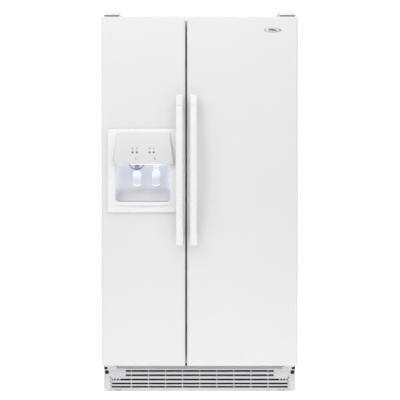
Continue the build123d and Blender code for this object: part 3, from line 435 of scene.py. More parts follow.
def door_skin(name, body, hole=None):
    """A painted door skin with rounded front edges, folded in at the back, with an optional hole."""
    low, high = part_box(name)
    edge = sizes().door_edge
    corner = sizes().door_corner
    sheet = sizes().sheet
    flat_low, flat_high = (low.x, low.z), (high.x, high.z)

    def ring(inset, y):
        return upright_ring(*grown(flat_low, flat_high, -inset), max(corner - inset * 0.4, 0.002), y)

    outer = [ring(0, high.y - 0.001), ring(0, high.y - 0.02)]
    outer += [ring(edge * inset, low.y + edge * depth) for inset, depth in quarter(7)]
    bend = edge - sheet
    inner = [ring(sheet + bend * inset, low.y + sheet + bend * depth) for inset, depth in quarter(4)]
    inner += [ring(sheet, high.y - 0.02), ring(sheet, high.y - sheet)]
    fold = [ring(0.012, high.y - sheet), ring(0.012, high.y), ring(0.001, high.y)]
    bm = bmesh.new()
    if hole:
        rim = [upright_ring(*hole, 0.004, low.y), upright_ring(*hole, 0.004, low.y + sheet)]
        join_rings(bm, outer + rim + inner + fold, closed=True)
    else:
        join_rings(bm, list(reversed(outer)) + list(reversed(fold)) + list(reversed(inner)))
    return add_piece(name + "_painted", bm, body, "white_paint", [name], 50)


def gasket(name, body):
    """A magnetic door seal: a flat foot, a narrow bellows fold and a rounded magnet lip."""
    low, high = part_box(name)
    depth = high.y - low.y
    profile = (
        (0.000, 0.00), (0.000, 0.16), (0.003, 0.22), (0.004, 0.34), (0.0015, 0.42), (0.0005, 0.55),
        (0.0005, 0.85), (0.0025, 1.00), (0.0105, 1.00), (0.0125, 0.85), (0.0125, 0.55), (0.0110, 0.42),
        (0.0090, 0.34), (0.0100, 0.22), (0.0130, 0.16), (0.0130, 0.00),
    )
    rings = []
    for inset, share in profile:
        outline = grown((low.x, low.z), (high.x, high.z), -inset)
        rings.append(upright_ring(*outline, 0.006, low.y + depth * share))
    bm = bmesh.new()
    join_rings(bm, rings, closed=True)
    return add_piece(name + "_bellows", bm, body, "gasket_rubber", [name], 60)


class REFRIGERATOR_OT_doors(bpy.types.Operator):
    """Build both painted door skins and their seals"""

    bl_idname = "refrigerator.doors"
    bl_label = "Doors and Seals"

    def execute(self, context):
        panel_low, panel_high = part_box("dispenser_housing")
        hole = (
            (panel_low.x + 0.019, panel_low.z + 0.026),
            (panel_high.x - 0.021, panel_high.z - 0.033),
        )
        door_skin("freezer_door_skin", "freezer_door", hole)
        door_skin("fridge_door_skin", "fridge_door")
        gasket("freezer_gasket", "freezer_door")
        gasket("fridge_gasket", "fridge_door")
        return {"FINISHED"}


# ---- Handles -------------------------------------------------------------------------------
def handle_ring(low_x, high_x, front, back, radius):
    """A handle's section between a front point and a back point, each (y, z), seen along the bar."""
    front, back = Vector((0, *front)), Vector((0, *back))
    thick = (back - front).length
    across = (back - front).normalized()
    section = rounded_rect((low_x, 0), (high_x, thick), radius, 5)
    return [Vector((x, 0, 0)) + front + across * t for x, t in section]


def handle(name, body):
    """A bowed bar with a shallow crown, held by an end cap at each end."""
    low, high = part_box(name)
    s = sizes()
    seams = (s.handle_lower_seam, s.handle_upper_seam)
    centre = sum(seams) / 2
    reach = (seams[1] - seams[0]) / 2
    end_front = low.y + s.handle_bow
    slit = 0.0006
    shy = 0.0004
    bm = bmesh.new()
    rings = []
    steps = 28
    for step in range(steps + 1):
        share = -1 + 2 * step / steps
        z = centre + share * (reach - slit)
        y = low.y + s.handle_bow * share * share
        slope = 2 * s.handle_bow * share / reach
        normal = Vector((1, -slope)).normalized() * s.handle_thick
        back = (y + normal.x, z + normal.y)
        rings.append(handle_ring(low.x + shy, high.x - shy, (y, z), back, 0.008))
    join_rings(bm, rings)
    for seam, end, way in ((seams[0], low.z, -1), (seams[1], high.z, 1)):
        door = high.y
        turn = 0.010
        inner_face = end_front + s.handle_thick
        path = [((end_front, seam), (inner_face, seam))]
        path.append(((end_front, seam + way * 0.012), (inner_face + 0.002, seam + way * 0.004)))
        for inset, depth in quarter(6):
            front = (end_front + turn * inset, end - way * turn * depth)
            share = (inset + 1 - depth) / 2
            back = (door - 0.013 + 0.013 * share, seam + way * (0.006 + 0.004 * share))
            path.append((front, back))
        path.append(((door - 0.002, end), (door, seam + way * 0.012)))
        path.append(((door, end), (door, seam + way * 0.013)))
        cap = [handle_ring(low.x, high.x, front, back, 0.006) for front, back in path]
        join_rings(bm, cap)
    return add_piece(name + "_bar_and_caps", bm, body, "white_plastic", [name], 40)


class REFRIGERATOR_OT_handles(bpy.types.Operator):
    """Build the two bowed door handles"""

    bl_idname = "refrigerator.handles"
    bl_label = "Handles"

    def execute(self, context):
        handle("freezer_handle", "freezer_door")
        handle("fridge_handle", "fridge_door")
        return {"FINISHED"}


# ---- Dispenser -----------------------------------------------------------------------------
class REFRIGERATOR_OT_dispenser(bpy.types.Operator):
    """Build the dispenser's bezel with its recess, ledge and drip tray"""

    bl_idname = "refrigerator.dispenser"
    bl_label = "Dispenser Housing"

    def execute(self, context):
        self.bezel()
        self.recess()
        self.ledge()
        self.drip_tray()
        return {"FINISHED"}

    def opening(self):
        """Corner pair of the dispenser's opening, as (x, z)."""
        s = sizes()
        return (s.recess_left, s.recess_floor), (s.recess_right, s.recess_top)

    def bezel(self):
        """The frame round the opening: a rounded outer edge, and a lip that turns into the recess."""
        low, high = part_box("dispenser_housing")
        s = sizes()
        opening = self.opening()
        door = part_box("freezer_door_skin")[0].y
        soft = 0.011
        lip = 0.003

        def outer(inset, y):
            return upright_ring(*grown((low.x, low.z), (high.x, high.z), -inset), 0.012 - inset * 0.5, y)

        def inner(outset, y):
            return upright_ring(*grown(*opening, outset), 0.007 + outset, y)

        deep = door - low.y - 0.003
        rings = [outer(0, door - 0.0003), outer(0, door - 0.003)]
        rings += [outer(soft * inset, low.y + deep * depth) for inset, depth in quarter(7)[1:]]
        rings += [inner(lip * depth, low.y + lip * inset) for inset, depth in quarter(4)]
        rings += [inner(0, low.y + 0.008), inner(s.wall, low.y + 0.008), inner(s.wall, low.y + 0.004)]
        rings += [outer(soft + 0.004, low.y + 0.004), outer(0.004, door - 0.0003)]
        bm = bmesh.new()
        join_rings(bm, rings, closed=True)
        replaced = ["dispenser_housing"]
        add_piece("dispenser_bezel", bm, "freezer_door", "white_plastic", replaced, 50)

    def recess(self):
        """The room behind the opening, with its rising floor."""
        s = sizes()
        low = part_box("dispenser_housing")[0]
        front = low.y + 0.0082
        wall = s.wall

        def ring(y, grow, radius):
            """The room's outline at a depth: the sides lean in and the floor rises behind the bend."""
            lean = s.recess_taper * (y - low.y) / (s.recess_back - low.y)
            rise = s.recess_rise * max(0.0, (y - s.recess_bend) / (s.recess_back - s.recess_bend))
            corner_low = (s.recess_left + lean - grow, s.recess_floor + rise - grow)
            corner_high = (s.recess_right - lean + grow, s.recess_top + grow)
            return upright_ring(corner_low, corner_high, radius, y)

        soft = 0.010
        inside = [ring(front, -0.0002, 0.007), ring(s.recess_bend - 0.002, -0.0004, 0.010)]
        inside += [ring(s.recess_bend + 0.004, -0.0006, 0.010), ring(s.recess_back - soft, -0.0008, 0.010)]
        for inset, depth in quarter(5)[1:]:
            inside.append(ring(s.recess_back - soft * depth, -0.0008 - soft * inset, 0.010))
        outside = [ring(y, wall, 0.010) for y in (front, s.recess_bend, s.recess_back + wall)]
        bm = bmesh.new()
        join_rings(bm, list(reversed(inside)) + outside)
        # The recess's finish paints the lamp's light as a glow on its upper walls.
        add_piece("dispenser_recess", bm, "freezer_door", "recess_plastic_painted_glow", [], 50)

    def ledge(self):
        """The bowed sill under the opening."""
        s = sizes()
        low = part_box("dispenser_housing")[0]
        middle = (s.recess_left + s.recess_right) / 2
        half = (s.recess_right - s.recess_left) / 2
        rings = []
        steps = 20
        for step in range(steps + 1):
            share = -1 + 2 * step / steps
            x = middle + share * half
            bow = 0.005 * (1 - share * share)
            front = low.y - 0.005 - bow
            section = [
                (low.y + 0.006, 0.8890), (front + 0.003, 0.8893), (front + 0.0006, 0.8885),
                (front, 0.8866), (front + 0.0008, 0.8770), (front + 0.003, 0.8745 - bow * 0.5),
                (low.y + 0.0010, 0.8738 - bow * 0.5),
            ]
            rings.append([Vector((x, y, z)) for y, z in section])
        bm = bmesh.new()
        join_rings(bm, rings)
        add_piece("dispenser_ledge", bm, "freezer_door", "white_plastic", [], 40)

    def drip_tray(self):
        """The tray's rim, the bars between its sides and the strip along its front."""
        low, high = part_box("drip_tray")
        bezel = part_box("dispenser_housing")[0].y
        rim = 0.008
        bars = 22
        bar_half = 0.0016
        bm = bmesh.new()

        def ring(inset, radius, z):
            return level_ring(*grown((low.x, low.y), (high.x, high.y), -inset), radius, z)

        steps = ((0, 0.004, low.z), (0, 0.004, high.z - 0.001), (0.001, 0.004, high.z))
        rings = [ring(*step) for step in steps + ((rim, 0.003, high.z), (rim, 0.003, low.z))]
        join_rings(bm, rings, closed=True)
        for index in range(bars):
            x = low.x + rim + (high.x - low.x - 2 * rim) * (index + 0.5) / bars
            bar_low = (x - bar_half, low.y + rim - 0.001, low.z + 0.001)
            bar_high = (x + bar_half, high.y - rim + 0.001, high.z - 0.0006)
            soft_box(bm, bar_low, bar_high, 0.0008)
        strip_low = (low.x + 0.002, bezel - 0.0012, 0.8884)
        soft_box(bm, strip_low, (high.x - 0.002, bezel + 0.0015, 0.8922), 0.0005)
        add_piece("drip_tray_grid", bm, "freezer_door", "tray_plastic", ["drip_tray"], 40)


BUTTONS = ("cube_button", "crush_button", "lamp_button", "lock_button")


class REFRIGERATOR_OT_controls(bpy.types.Operator):
    """Build the bowed control hood, its symbols and its four buttons"""

    bl_idname = "refrigerator.controls"
    bl_label = "Control Hood and Buttons"

    def execute(self, context):
        self.hood()
        self.symbols()
        for name in BUTTONS:
            self.button(name)
        return {"FINISHED"}

    def front_at(self, share):
        """How far out the hood stands at a share of its height, from 0 at the foot to 1."""
        low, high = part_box("control_panel")
        deep = high.y - low.y
        if share < 0.16:
            turn = 1 - share / 0.16
            return low.y + deep * 0.20 * turn ** 3
        rise = (share - 0.16) / 0.84
        return low.y + (deep - 0.0015) * rise ** 1.7

    def hood(self):
        """The control hood: narrower to its top, bowed out to its foot, with a faint crown across."""
        low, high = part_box("control_panel")
        middle = (low.x + high.x) / 2
        foot = (high.x - low.x) / 2
        rings = []
        heights = [0, 0.008, 0.02, 0.04, 0.07, 0.11, 0.16, 0.22]
        heights += [0.22 + 0.78 * step / 16 for step in range(1, 17)]
        for share in heights:
            z = low.z + (high.z - low.z) * share
            half = foot + (sizes().hood_head - foot) * share
            front = self.front_at(share)
            soft = min(0.010, (high.y - front) * 0.8)
            ring = [Vector((middle - half, high.y, z)), Vector((middle - half, front + soft, z))]
            for inset, depth in quarter(5)[1:]:
                ring.append(Vector((middle - half + soft * inset, front + soft * depth, z)))
            for step in range(1, 12):
                across = -1 + 2 * step / 12
                crown = 0.0022 * (across * across) * min(1, (high.y - front) / 0.012)
                ring.append(Vector((middle + across * (half - soft), front + crown * 0.6, z)))
            for inset, depth in reversed(quarter(5)[1:]):
                ring.append(Vector((middle + half - soft * inset, front + soft * depth, z)))
            ring += [Vector((middle + half, front + soft, z)), Vector((middle + half, high.y, z))]
            rings.append(ring)
        bm = bmesh.new()
        join_rings(bm, rings)
        add_piece("control_hood", bm, "freezer_door", "hood_plastic", ["control_panel"], 45)

    def symbols(self):
        """Small printed marks over the buttons and over the two paddles."""
        bm = bmesh.new()
        low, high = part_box("control_panel")
        marks = []
        for name in BUTTONS:
            button_low, button_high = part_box(name)
            button_middle = (button_low + button_high) / 2
            marks.append((button_middle.x, button_middle.z + 0.0195, name))

        def front(z):
            return self.front_at((z - low.z) / (high.z - low.z)) + 0.0002

        def mark(ring):
            """A thin mark that follows the hood, from its outline as (x, z)."""
            join_rings(bm, [[Vector((x, front(z) + t, z)) for x, z in ring] for t in (-0.0006, 0.0004)])

        def plate(x, z, wide, tall, turn=0.0):
            ring = []
            for u, v in ((-1, -1), (1, -1), (1, 1), (-1, 1)):
                corner = Vector((u * wide / 2, v * tall / 2))
                corner.rotate(Matrix.Rotation(turn, 2))
                ring.append((x + corner.x, z + corner.y))
            mark(ring)

        def disc(x, z, radius, count=12):
            angles = [2 * math.pi * step / count for step in range(count)]
            mark([(x + radius * math.cos(angle), z + radius * math.sin(angle)) for angle in angles])

        for x, z, name in marks:
            if name == "cube_button":
                plate(x, z, 0.0062, 0.0062)
                plate(x, z - 0.0085, 0.0018, 0.0060)
            elif name == "crush_button":
                plate(x, z, 0.0056, 0.0056, math.pi / 4)
                plate(x, z - 0.0085, 0.0018, 0.0060)
            elif name == "lamp_button":
                disc(x, z, 0.0034)
                plate(x, z - 0.0050, 0.0028, 0.0020)
            else:
                plate(x, z - 0.0014, 0.0062, 0.0046)
                plate(x, z + 0.0028, 0.0038, 0.0014)
        ice_x = -0.290
        water_x = -0.203
        plate(ice_x, 1.0860, 0.0022, 0.0120)
        disc(ice_x, 1.0815, 0.0026)
        disc(water_x, 1.0825, 0.0036)
        plate(water_x, 1.0875, 0.0032, 0.0060)
        add_piece("control_symbols", bm, "freezer_door", "ink", [], 40)

    def button(self, name):
        """A round button with a softly domed cap."""
        low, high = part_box(name)
        x, z = (low.x + high.x) / 2, (low.z + high.z) / 2
        radius = (high.x - low.x) / 2
        profile = ((0.0, 0.35), (0.0, 0.55), (0.0003, 0.80), (0.0010, 0.95), (0.0022, 1.0))
        bm = bmesh.new()
        rings = [
            circle_ring((x, low.y + depth, z), (0, 1, 0), radius * share, 28) for depth, share in profile
        ]
        rings.append(circle_ring((x, high.y, z), (0, 1, 0), radius, 28))
        join_rings(bm, rings)
        add_piece(name + "_cap", bm, name, "button_plastic", [name], 40)


class REFRIGERATOR_OT_paddles(bpy.types.Operator):
    """Build the two paddles, the water nozzle and the recess lamp"""

    bl_idname = "refrigerator.paddles"
    bl_label = "Paddles and Spouts"

    def execute(self, context):
        self.paddle("ice_paddle", 0.0105, "grey_plastic")
        self.paddle("water_paddle", 0.0125, "paddle_plastic_painted_glow")
        self.spouts()
        return {"FINISHED"}

    def paddle(self, name, arm_half, arm_finish):
        """A cradle that narrows upwards and glows with painted light towards its top, the rim at its foot,
        bright with a painted glow, and its arm with the pivot.
        """
        low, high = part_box(name)
        middle = (low.x + high.x) / 2
        foot_half = 0.0226
        head_half = 0.0175
        body_top = 1.034
        back = -0.3225
        depth = 0.019
        rings = []
        for share in (0.0, 0.02, 0.06, 0.10, 0.14, 0.25, 0.4, 0.55, 0.7, 0.82, 0.90, 0.95, 0.98, 1.0):
            z = low.z + (body_top - low.z) * share
            half = foot_half + (head_half - foot_half) * share ** 1.4
            if share > 0.85:
                half *= math.sqrt(max(0.25, 1 - ((share - 0.85) / 0.15) ** 2 * 0.75))
            smile = 0.008 * max(0.0, 1 - share / 0.25)
            ring = []
            corner = 0.0035 + 0.005 * min(1.0, share * 2)
            for x, y in rounded_rect((-half, back - depth), (half, back), corner, 6):
                lift = smile * (x / foot_half) ** 2
                ring.append(Vector((middle + x, y, z + lift)))
            rings.append(ring)
        bm = bmesh.new()
        join_rings(bm, rings)
        # The cradle's finish paints the lamp's light as a bluish glow towards its top.
        add_piece(name + "_cradle", bm, name, "paddle_plastic_painted_glow", [name], 50)
        bm = bmesh.new()
        rings = []
        inner, outer = back - depth + 0.001, back - depth - 0.0002
        for step in range(17):
            share = -1 + step / 8
            x, z = middle + share * 0.0212, low.z + 0.0042 + 0.0078 * share * share
            thick = 0.0011 + 0.0019 * (1 - share * share)
            section = ((inner, -thick), (outer, -thick * 0.7), (outer, thick * 0.7), (inner, thick))
            rings.append([Vector((x, y, z + rise)) for y, rise in section])
        join_rings(bm, rings)
        # The rim's finish paints its highlight as a faint glow.
        add_piece(name + "_rim", bm, name, "rim_painted_glow", [], 60)
        bm = bmesh.new()
        pivot = (high.z + low.z) / 2 + (high.z - low.z) / 2 - 0.003
        arm = []
        for z, scale in ((body_top - 0.006, 0.9), (body_top, 1.0), (1.056, 1.0), (pivot - 0.002, 0.8)):
            half = arm_half * scale
            arm.append(level_ring((middle - half, back - 0.007), (middle + half, back + 0.0035), 0.005, z))
        join_rings(bm, arm)
        ends = (low.x + 0.004, high.x - 0.004)
        join_rings(bm, [circle_ring((x, -0.322, pivot), (1, 0, 0), 0.003, 16) for x in ends])
        add_piece(name + "_arm", bm, name, arm_finish, [], 50)

    def spouts(self):
        """The water nozzle, which glows with painted light, and the lamp's flat lens in the recess's ceiling.
        """
        top = sizes().recess_top
        bm = bmesh.new()
        nozzle = ((1.0635, 0.012), (1.046, 0.012), (1.040, 0.010), (1.0385, 0.006))
        join_rings(bm, [circle_ring((-0.201, -0.346, z), (0, 0, 1), r, 24) for z, r in nozzle])
        # The nozzle's finish paints the lamp's light on it as a bluish glow.
        add_piece("water_nozzle", bm, "freezer_door", "nozzle_painted_glow", [], 40)
        bm = bmesh.new()
        soft_box(bm, (-0.315, -0.3655, top - 0.0003), (-0.176, -0.3500, top - 0.0001), 0)
        add_piece("recess_lamp", bm, "freezer_door", "lamp", [], 40)


class REFRIGERATOR_OT_badge(bpy.types.Operator):
    """Build the plain oval badge"""

    bl_idname = "refrigerator.badge"
    bl_label = "Badge"

    def execute(self, context):
        low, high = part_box("badge")
        middle = (low + high) / 2
        half = ((high.x - low.x) / 2, (high.z - low.z) / 2)

        def ellipse(shrink, y):
            ring = []
            for step in range(48):
                angle = 2 * math.pi * step / 48
                x = middle.x + (half[0] - shrink) * math.cos(angle)
                ring.append(Vector((x, y, middle.z + (half[1] - shrink) * math.sin(angle))))
            return ring

        bm = bmesh.new()
        rim = ((0, 0.0012), (0.0006, 0.0003), (0.0014, 0), (0.0026, 0.0002), (0.0030, 0.0010))
        rings = [ellipse(0, high.y)] + [ellipse(shrink, low.y + depth) for shrink, depth in rim]
        rings.append(ellipse(0.0030, high.y))
        join_rings(bm, rings, closed=True)
        add_piece("badge_rim", bm, "fridge_door", "chrome", ["badge"], 50)
        bm = bmesh.new()
        field = ((0.0031, high.y), (0.0031, low.y + 0.0011), (0.0040, low.y + 0.0007))
        join_rings(bm, [ellipse(shrink, y) for shrink, y in field])
        add_piece("badge_field", bm, "fridge_door", "pale_plastic", [], 50)
        bm = bmesh.new()
        top, bottom = low.y + 0.0010, low.y + 0.0002
        steps = 16
        for start, end, thick in ((-0.20, 0.20, 0.0034), (2.90, 3.38, 0.0022)):
            arc = []
            for side in (1, -1):
                for step in range(steps + 1):
                    share = step / steps if side == 1 else 1 - step / steps
                    spread_out = 2.4 if start < 0 else 1.0
                    angle = (start + (end - start) * share) * spread_out
                    bulge = thick * math.sin(math.pi * share) * (0.4 if side == 1 else -1.6)
                    reach = (half[0] - 0.0052 + bulge, half[1] - 0.0040 + bulge * 0.3)
                    arc.append((middle.x + reach[0] * math.cos(angle), middle.z + reach[1] * math.sin(angle)))
            join_rings(bm, [[Vector((x, y, z)) for x, z in arc] for y in (top, bottom)])
        wave = []
        for side in (1, -1):
            for step in range(steps + 1):
                share = step / steps if side == 1 else 1 - step / steps
                swell = 0.0030 * math.sin(math.pi * share) ** 0.6 + 0.0003
                curl = 0.0012 * math.sin(5 * share)
                wave.append((middle.x - 0.021 + 0.041 * share, middle.z + curl + side * swell))
        join_rings(bm, [[Vector((x, y, z)) for x, z in wave] for y in (top, bottom)])
        add_piece("badge_inlay", bm, "fridge_door", "badge_ink", [], 50)
        return {"FINISHED"}


# ---- Repeated pieces, made by geometry nodes -------------------------------------------------
def repeat_tree(name, material):
    """A node tree that puts a copy of one object at every point of the mesh it is given."""
    tree = bpy.data.node_groups.new(name, "GeometryNodeTree")
    tree.interface.new_socket("Points", in_out="INPUT", socket_type="NodeSocketGeometry")
    tree.interface.new_socket("Part", in_out="INPUT", socket_type="NodeSocketObject")
    tree.interface.new_socket("Scale", in_out="INPUT", socket_type="NodeSocketVector")
    tree.interface.new_socket("Turn", in_out="INPUT", socket_type="NodeSocketVector")
    tree.interface.new_socket("Geometry", in_out="OUTPUT", socket_type="NodeSocketGeometry")
    entry = tree.nodes.new("NodeGroupInput")
    leave = tree.nodes.new("NodeGroupOutput")
    part = tree.nodes.new("GeometryNodeObjectInfo")
    copies = tree.nodes.new("GeometryNodeInstanceOnPoints")
    real = tree.nodes.new("GeometryNodeRealizeInstances")
    paint = tree.nodes.new("GeometryNodeSetMaterial")
    paint.inputs["Material"].default_value = material
    link = tree.links.new
    link(entry.outputs["Points"], copies.inputs["Points"])
    link(entry.outputs["Part"], part.inputs["Object"])
    link(part.outputs["Geometry"], copies.inputs["Instance"])
    link(entry.outputs["Scale"], copies.inputs["Scale"])
    link(entry.outputs["Turn"], copies.inputs["Rotation"])
    link(copies.outputs["Instances"], real.inputs["Geometry"])
    link(real.outputs["Geometry"], paint.inputs["Geometry"])
    link(paint.outputs["Geometry"], leave.inputs["Geometry"])
    return tree


def repeated(name, part_bm, points, body, finish_name):
    """A plain mesh of one part copied to many points, made with geometry nodes."""
    material = finish(finish_name)
    bmesh.ops.recalc_face_normals(part_bm, faces=part_bm.faces)
    part_mesh = bpy.data.meshes.new(name + "_part")
    part_bm.to_mesh(part_mesh)
    part_bm.free()
    for face in part_mesh.polygons:
        face.use_smooth = True
    part_mesh.set_sharp_from_angle(angle=math.radians(35))
    part = bpy.data.objects.new(name + "_part", part_mesh)
    bpy.context.collection.objects.link(part)
    host_mesh = bpy.data.meshes.new(name + "_points")
    host_mesh.from_pydata([tuple(point) for point in points], [], [])
    host = bpy.data.objects.new(name + "_host", host_mesh)
    bpy.context.collection.objects.link(host)
    modifier = host.modifiers.new("repeat", "NODES")
    modifier.node_group = repeat_tree(name + "_repeat", material)
    items = modifier.node_group.interface.items_tree
    sockets = {item.name: item.identifier for item in items if item.in_out == "INPUT"}
    modifier[sockets["Part"]] = part
    modifier[sockets["Scale"]] = [1.0, 1.0, 1.0]
    modifier[sockets["Turn"]] = [0.0, 0.0, 0.0]
    host.update_tag()
    bpy.context.view_layer.update()
    result = bpy.data.meshes.new_from_object(host.evaluated_get(bpy.context.evaluated_depsgraph_get()))
    result.name = name
    host.modifiers.remove(modifier)
    bpy.data.objects.remove(host)
    bpy.data.objects.remove(part)
    piece = bpy.data.objects.new(name, result)
    bpy.context.collection.objects.link(piece)
    if not result.materials:
        result.materials.append(material)
    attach(piece, body)
    return piece


class REFRIGERATOR_OT_base_grille(bpy.types.Operator):
    """Build the base grille: its louvers, ribs, end stiles and top lip"""

    bl_idname = "refrigerator.base_grille"
    bl_label = "Base Grille"

    def execute(self, context):
        low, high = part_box("base_grille")
        slot = sizes().grille_slot
        face = low.y
        long_half, short_half, lip_half = 0.415, 0.349, 0.388
        teeth_row = 0.0571
        rows = [(height, short_half) for height in (0.0974, 0.0773)]
        rows += [(height, long_half) for height in (teeth_row, 0.0384, 0.0229)]
        bm = bmesh.new()
        for upper, lower in zip([None] + rows, rows + [None]):
            top = upper[0] - slot / 2 if upper else 0.1100
            bottom = lower[0] + slot / 2 if lower else low.z
            half = max((upper or lower)[1], (lower or upper)[1]) + 0.003
            self.bar(bm, half, bottom, top, face)
        lip = (
            (face + 0.004, 0.1085), (face + 0.0075, 0.1100), (face + 0.0105, high.z - 0.003),
            (face + 0.0125, high.z), (high.y, high.z), (high.y, high.z - 0.002),
            (face + 0.0120, high.z - 0.003), (face + 0.0090, 0.1085),
        )
        join_rings(bm, [[Vector((x, y, z)) for y, z in lip] for x in (-lip_half, lip_half)])
        for side in (-1, 1):
            self.stile(bm, side, face, low, high)
        add_piece("base_grille_face", bm, "cabinet", "grille_plastic", ["base_grille"], 40)
        rib = bmesh.new()
        soft_box(rib, (-0.0015, -0.005, -0.044), (0.0015, 0.005, 0.044), 0.0006)
        pitch = sizes().grille_rib_pitch
        points = [(pitch * index, face + 0.0065, 0.060) for index in range(-4, 5)]
        repeated("base_grille_ribs", rib, points, "cabinet", "grille_plastic")
        tooth = bmesh.new()
        soft_box(tooth, (-0.0028, -0.0015, -0.005), (0.0028, 0.0015, 0.005), 0.0008)
        places = (0.4035, 0.3890, 0.3745)
        points = [(side * x, face + 0.0025, teeth_row) for side in (-1, 1) for x in places]
        repeated("base_grille_teeth", tooth, points, "cabinet", "grille_plastic")
        # A black strip behind the grille's lowest slot paints the shade seen through it, in place of the
        # floor behind.
        bm = bmesh.new()
        shade_strip_low = (-0.430, high.y + 0.0025, low.z + 0.0005)
        soft_box(bm, shade_strip_low, (0.430, high.y + 0.0042, 0.0290), 0.0006)
        add_piece("toe_board_skirt", bm, "cabinet", "black_metal", [], 40)
        return {"FINISHED"}

    def stile(self, bm, side, face, low, high):
        """A solid end: a plain lower part, a raised upper cap with the adjuster's hole, and a return."""
        outside = side * high.x
        hole_x, hole_z, hole_radius = side * 0.434, 0.092, 0.0095
        blocks = (
            (side * 0.412, outside, face, low.z, face + 0.004, 0.0775, 0.0012),
            (side * 0.346, side * 0.4225, face + 0.0005, 0.0700, face + 0.0038, 0.1095, 0.0012),
            (side * 0.386, side * 0.4315, face, 0.1035, face + 0.004, high.z, 0.0015),
            (side * (high.x - 0.003), outside, face + 0.001, low.z, high.y, 0.1040, 0.001),
        )
        for first, second, front, bottom, back, top, radius in blocks[:3]:
            soft_box(bm, (min(first, second), front, bottom), (max(first, second), back, top), radius)
        steps = (
            (0.0125, face + 0.004), (0.0125, face + 0.0008), (0.0115, face), (0.0008, face),
            (0.0, face + 0.0008), (0.0, face + 0.004),
        )
        rings = []
        for grow, y in steps:
            ring = []
            for step in range(32):
                angle = 2 * math.pi * step / 32
                x, z = ((hole_radius + grow) * part for part in (math.cos(angle), math.sin(angle)))
                if grow > 0.01:
                    x = max(-0.0125, min(0.0125, x * 1.2))
                    z = max(-0.0150, min(0.0125, z * 1.2))
                ring.append(Vector((hole_x + x, y, hole_z + z)))
            rings.append(ring)
        join_rings(bm, rings, closed=True)
        first, second, front, bottom, back, top, radius = blocks[3]
        soft_box(bm, (min(first, second), front, bottom), (max(first, second), back, top), radius)

    def bar(self, bm, half, bottom, top, face):
        """One louver: a bar whose front leans back towards its rounded top edge."""
        tall = top - bottom
        lean = min(0.004, tall * 0.4)
        section = [
            (face, bottom + 0.0015), (face + 0.0004, bottom + 0.0004), (face + 0.0015, bottom),
            (face + 0.010, bottom), (face + 0.010, top - 0.001), (face + lean + 0.001, top),
            (face + lean * 0.5, top - 0.0006), (face, top - 0.0025),
        ]
        join_rings(bm, [[Vector((x, y, z)) for y, z in section] for x in (-half, half)])


class REFRIGERATOR_OT_hinge_covers(bpy.types.Operator):
    """Build the two hinge covers on top, with a grey strip under each that paints the shadow in the gap over
    the door
    """

    bl_idname = "refrigerator.hinge_covers"
    bl_label = "Hinge Covers"

    def execute(self, context):
        low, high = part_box("hinge_covers")
        bm = bmesh.new()
        wide = 0.076
        door_gap = 1.7480
        split = -0.282
        wall = sizes().wall
        soft = 0.0025
        shade = bmesh.new()
        for left, right in ((low.x, low.x + wide), (high.x - wide, high.x)):
            def ring(inset, z):
                outline = grown((left, low.y), (right, high.y), -inset)
                return level_ring(*outline, 0.004 - inset * 0.4, z)

            rings = [ring(0, door_gap)]
            rings += [ring(soft * inset, high.z - soft * depth) for inset, depth in quarter(5)]
            inner = [ring(wall + soft * 0.6, high.z - wall), ring(wall, high.z - 0.006), ring(wall, door_gap)]
            join_rings(bm, rings + inner, closed=True)
            skirt = [
                level_ring((left + t, split + t), (right - t, high.y - t), 0.006, z)
                for t, z in ((0, door_gap + 0.001), (0, low.z), (wall, low.z), (wall, door_gap + 0.001))
            ]
            join_rings(bm, skirt, closed=True)
            # A grey strip behind each cover's lower edge paints the shadow in the gap between the cover and
            # the door's top.
            strip_low = (left + 0.004, low.y + 0.006, 1.7420)
            soft_box(shade, strip_low, (right - 0.004, low.y + 0.009, door_gap + 0.001), 0.0004)
        add_piece("hinge_cover_seals", shade, "cabinet", "grey_plastic", [], 40)
        add_piece("hinge_cover_caps", bm, "cabinet", "white_plastic", ["hinge_covers"], 45)
        return {"FINISHED"}


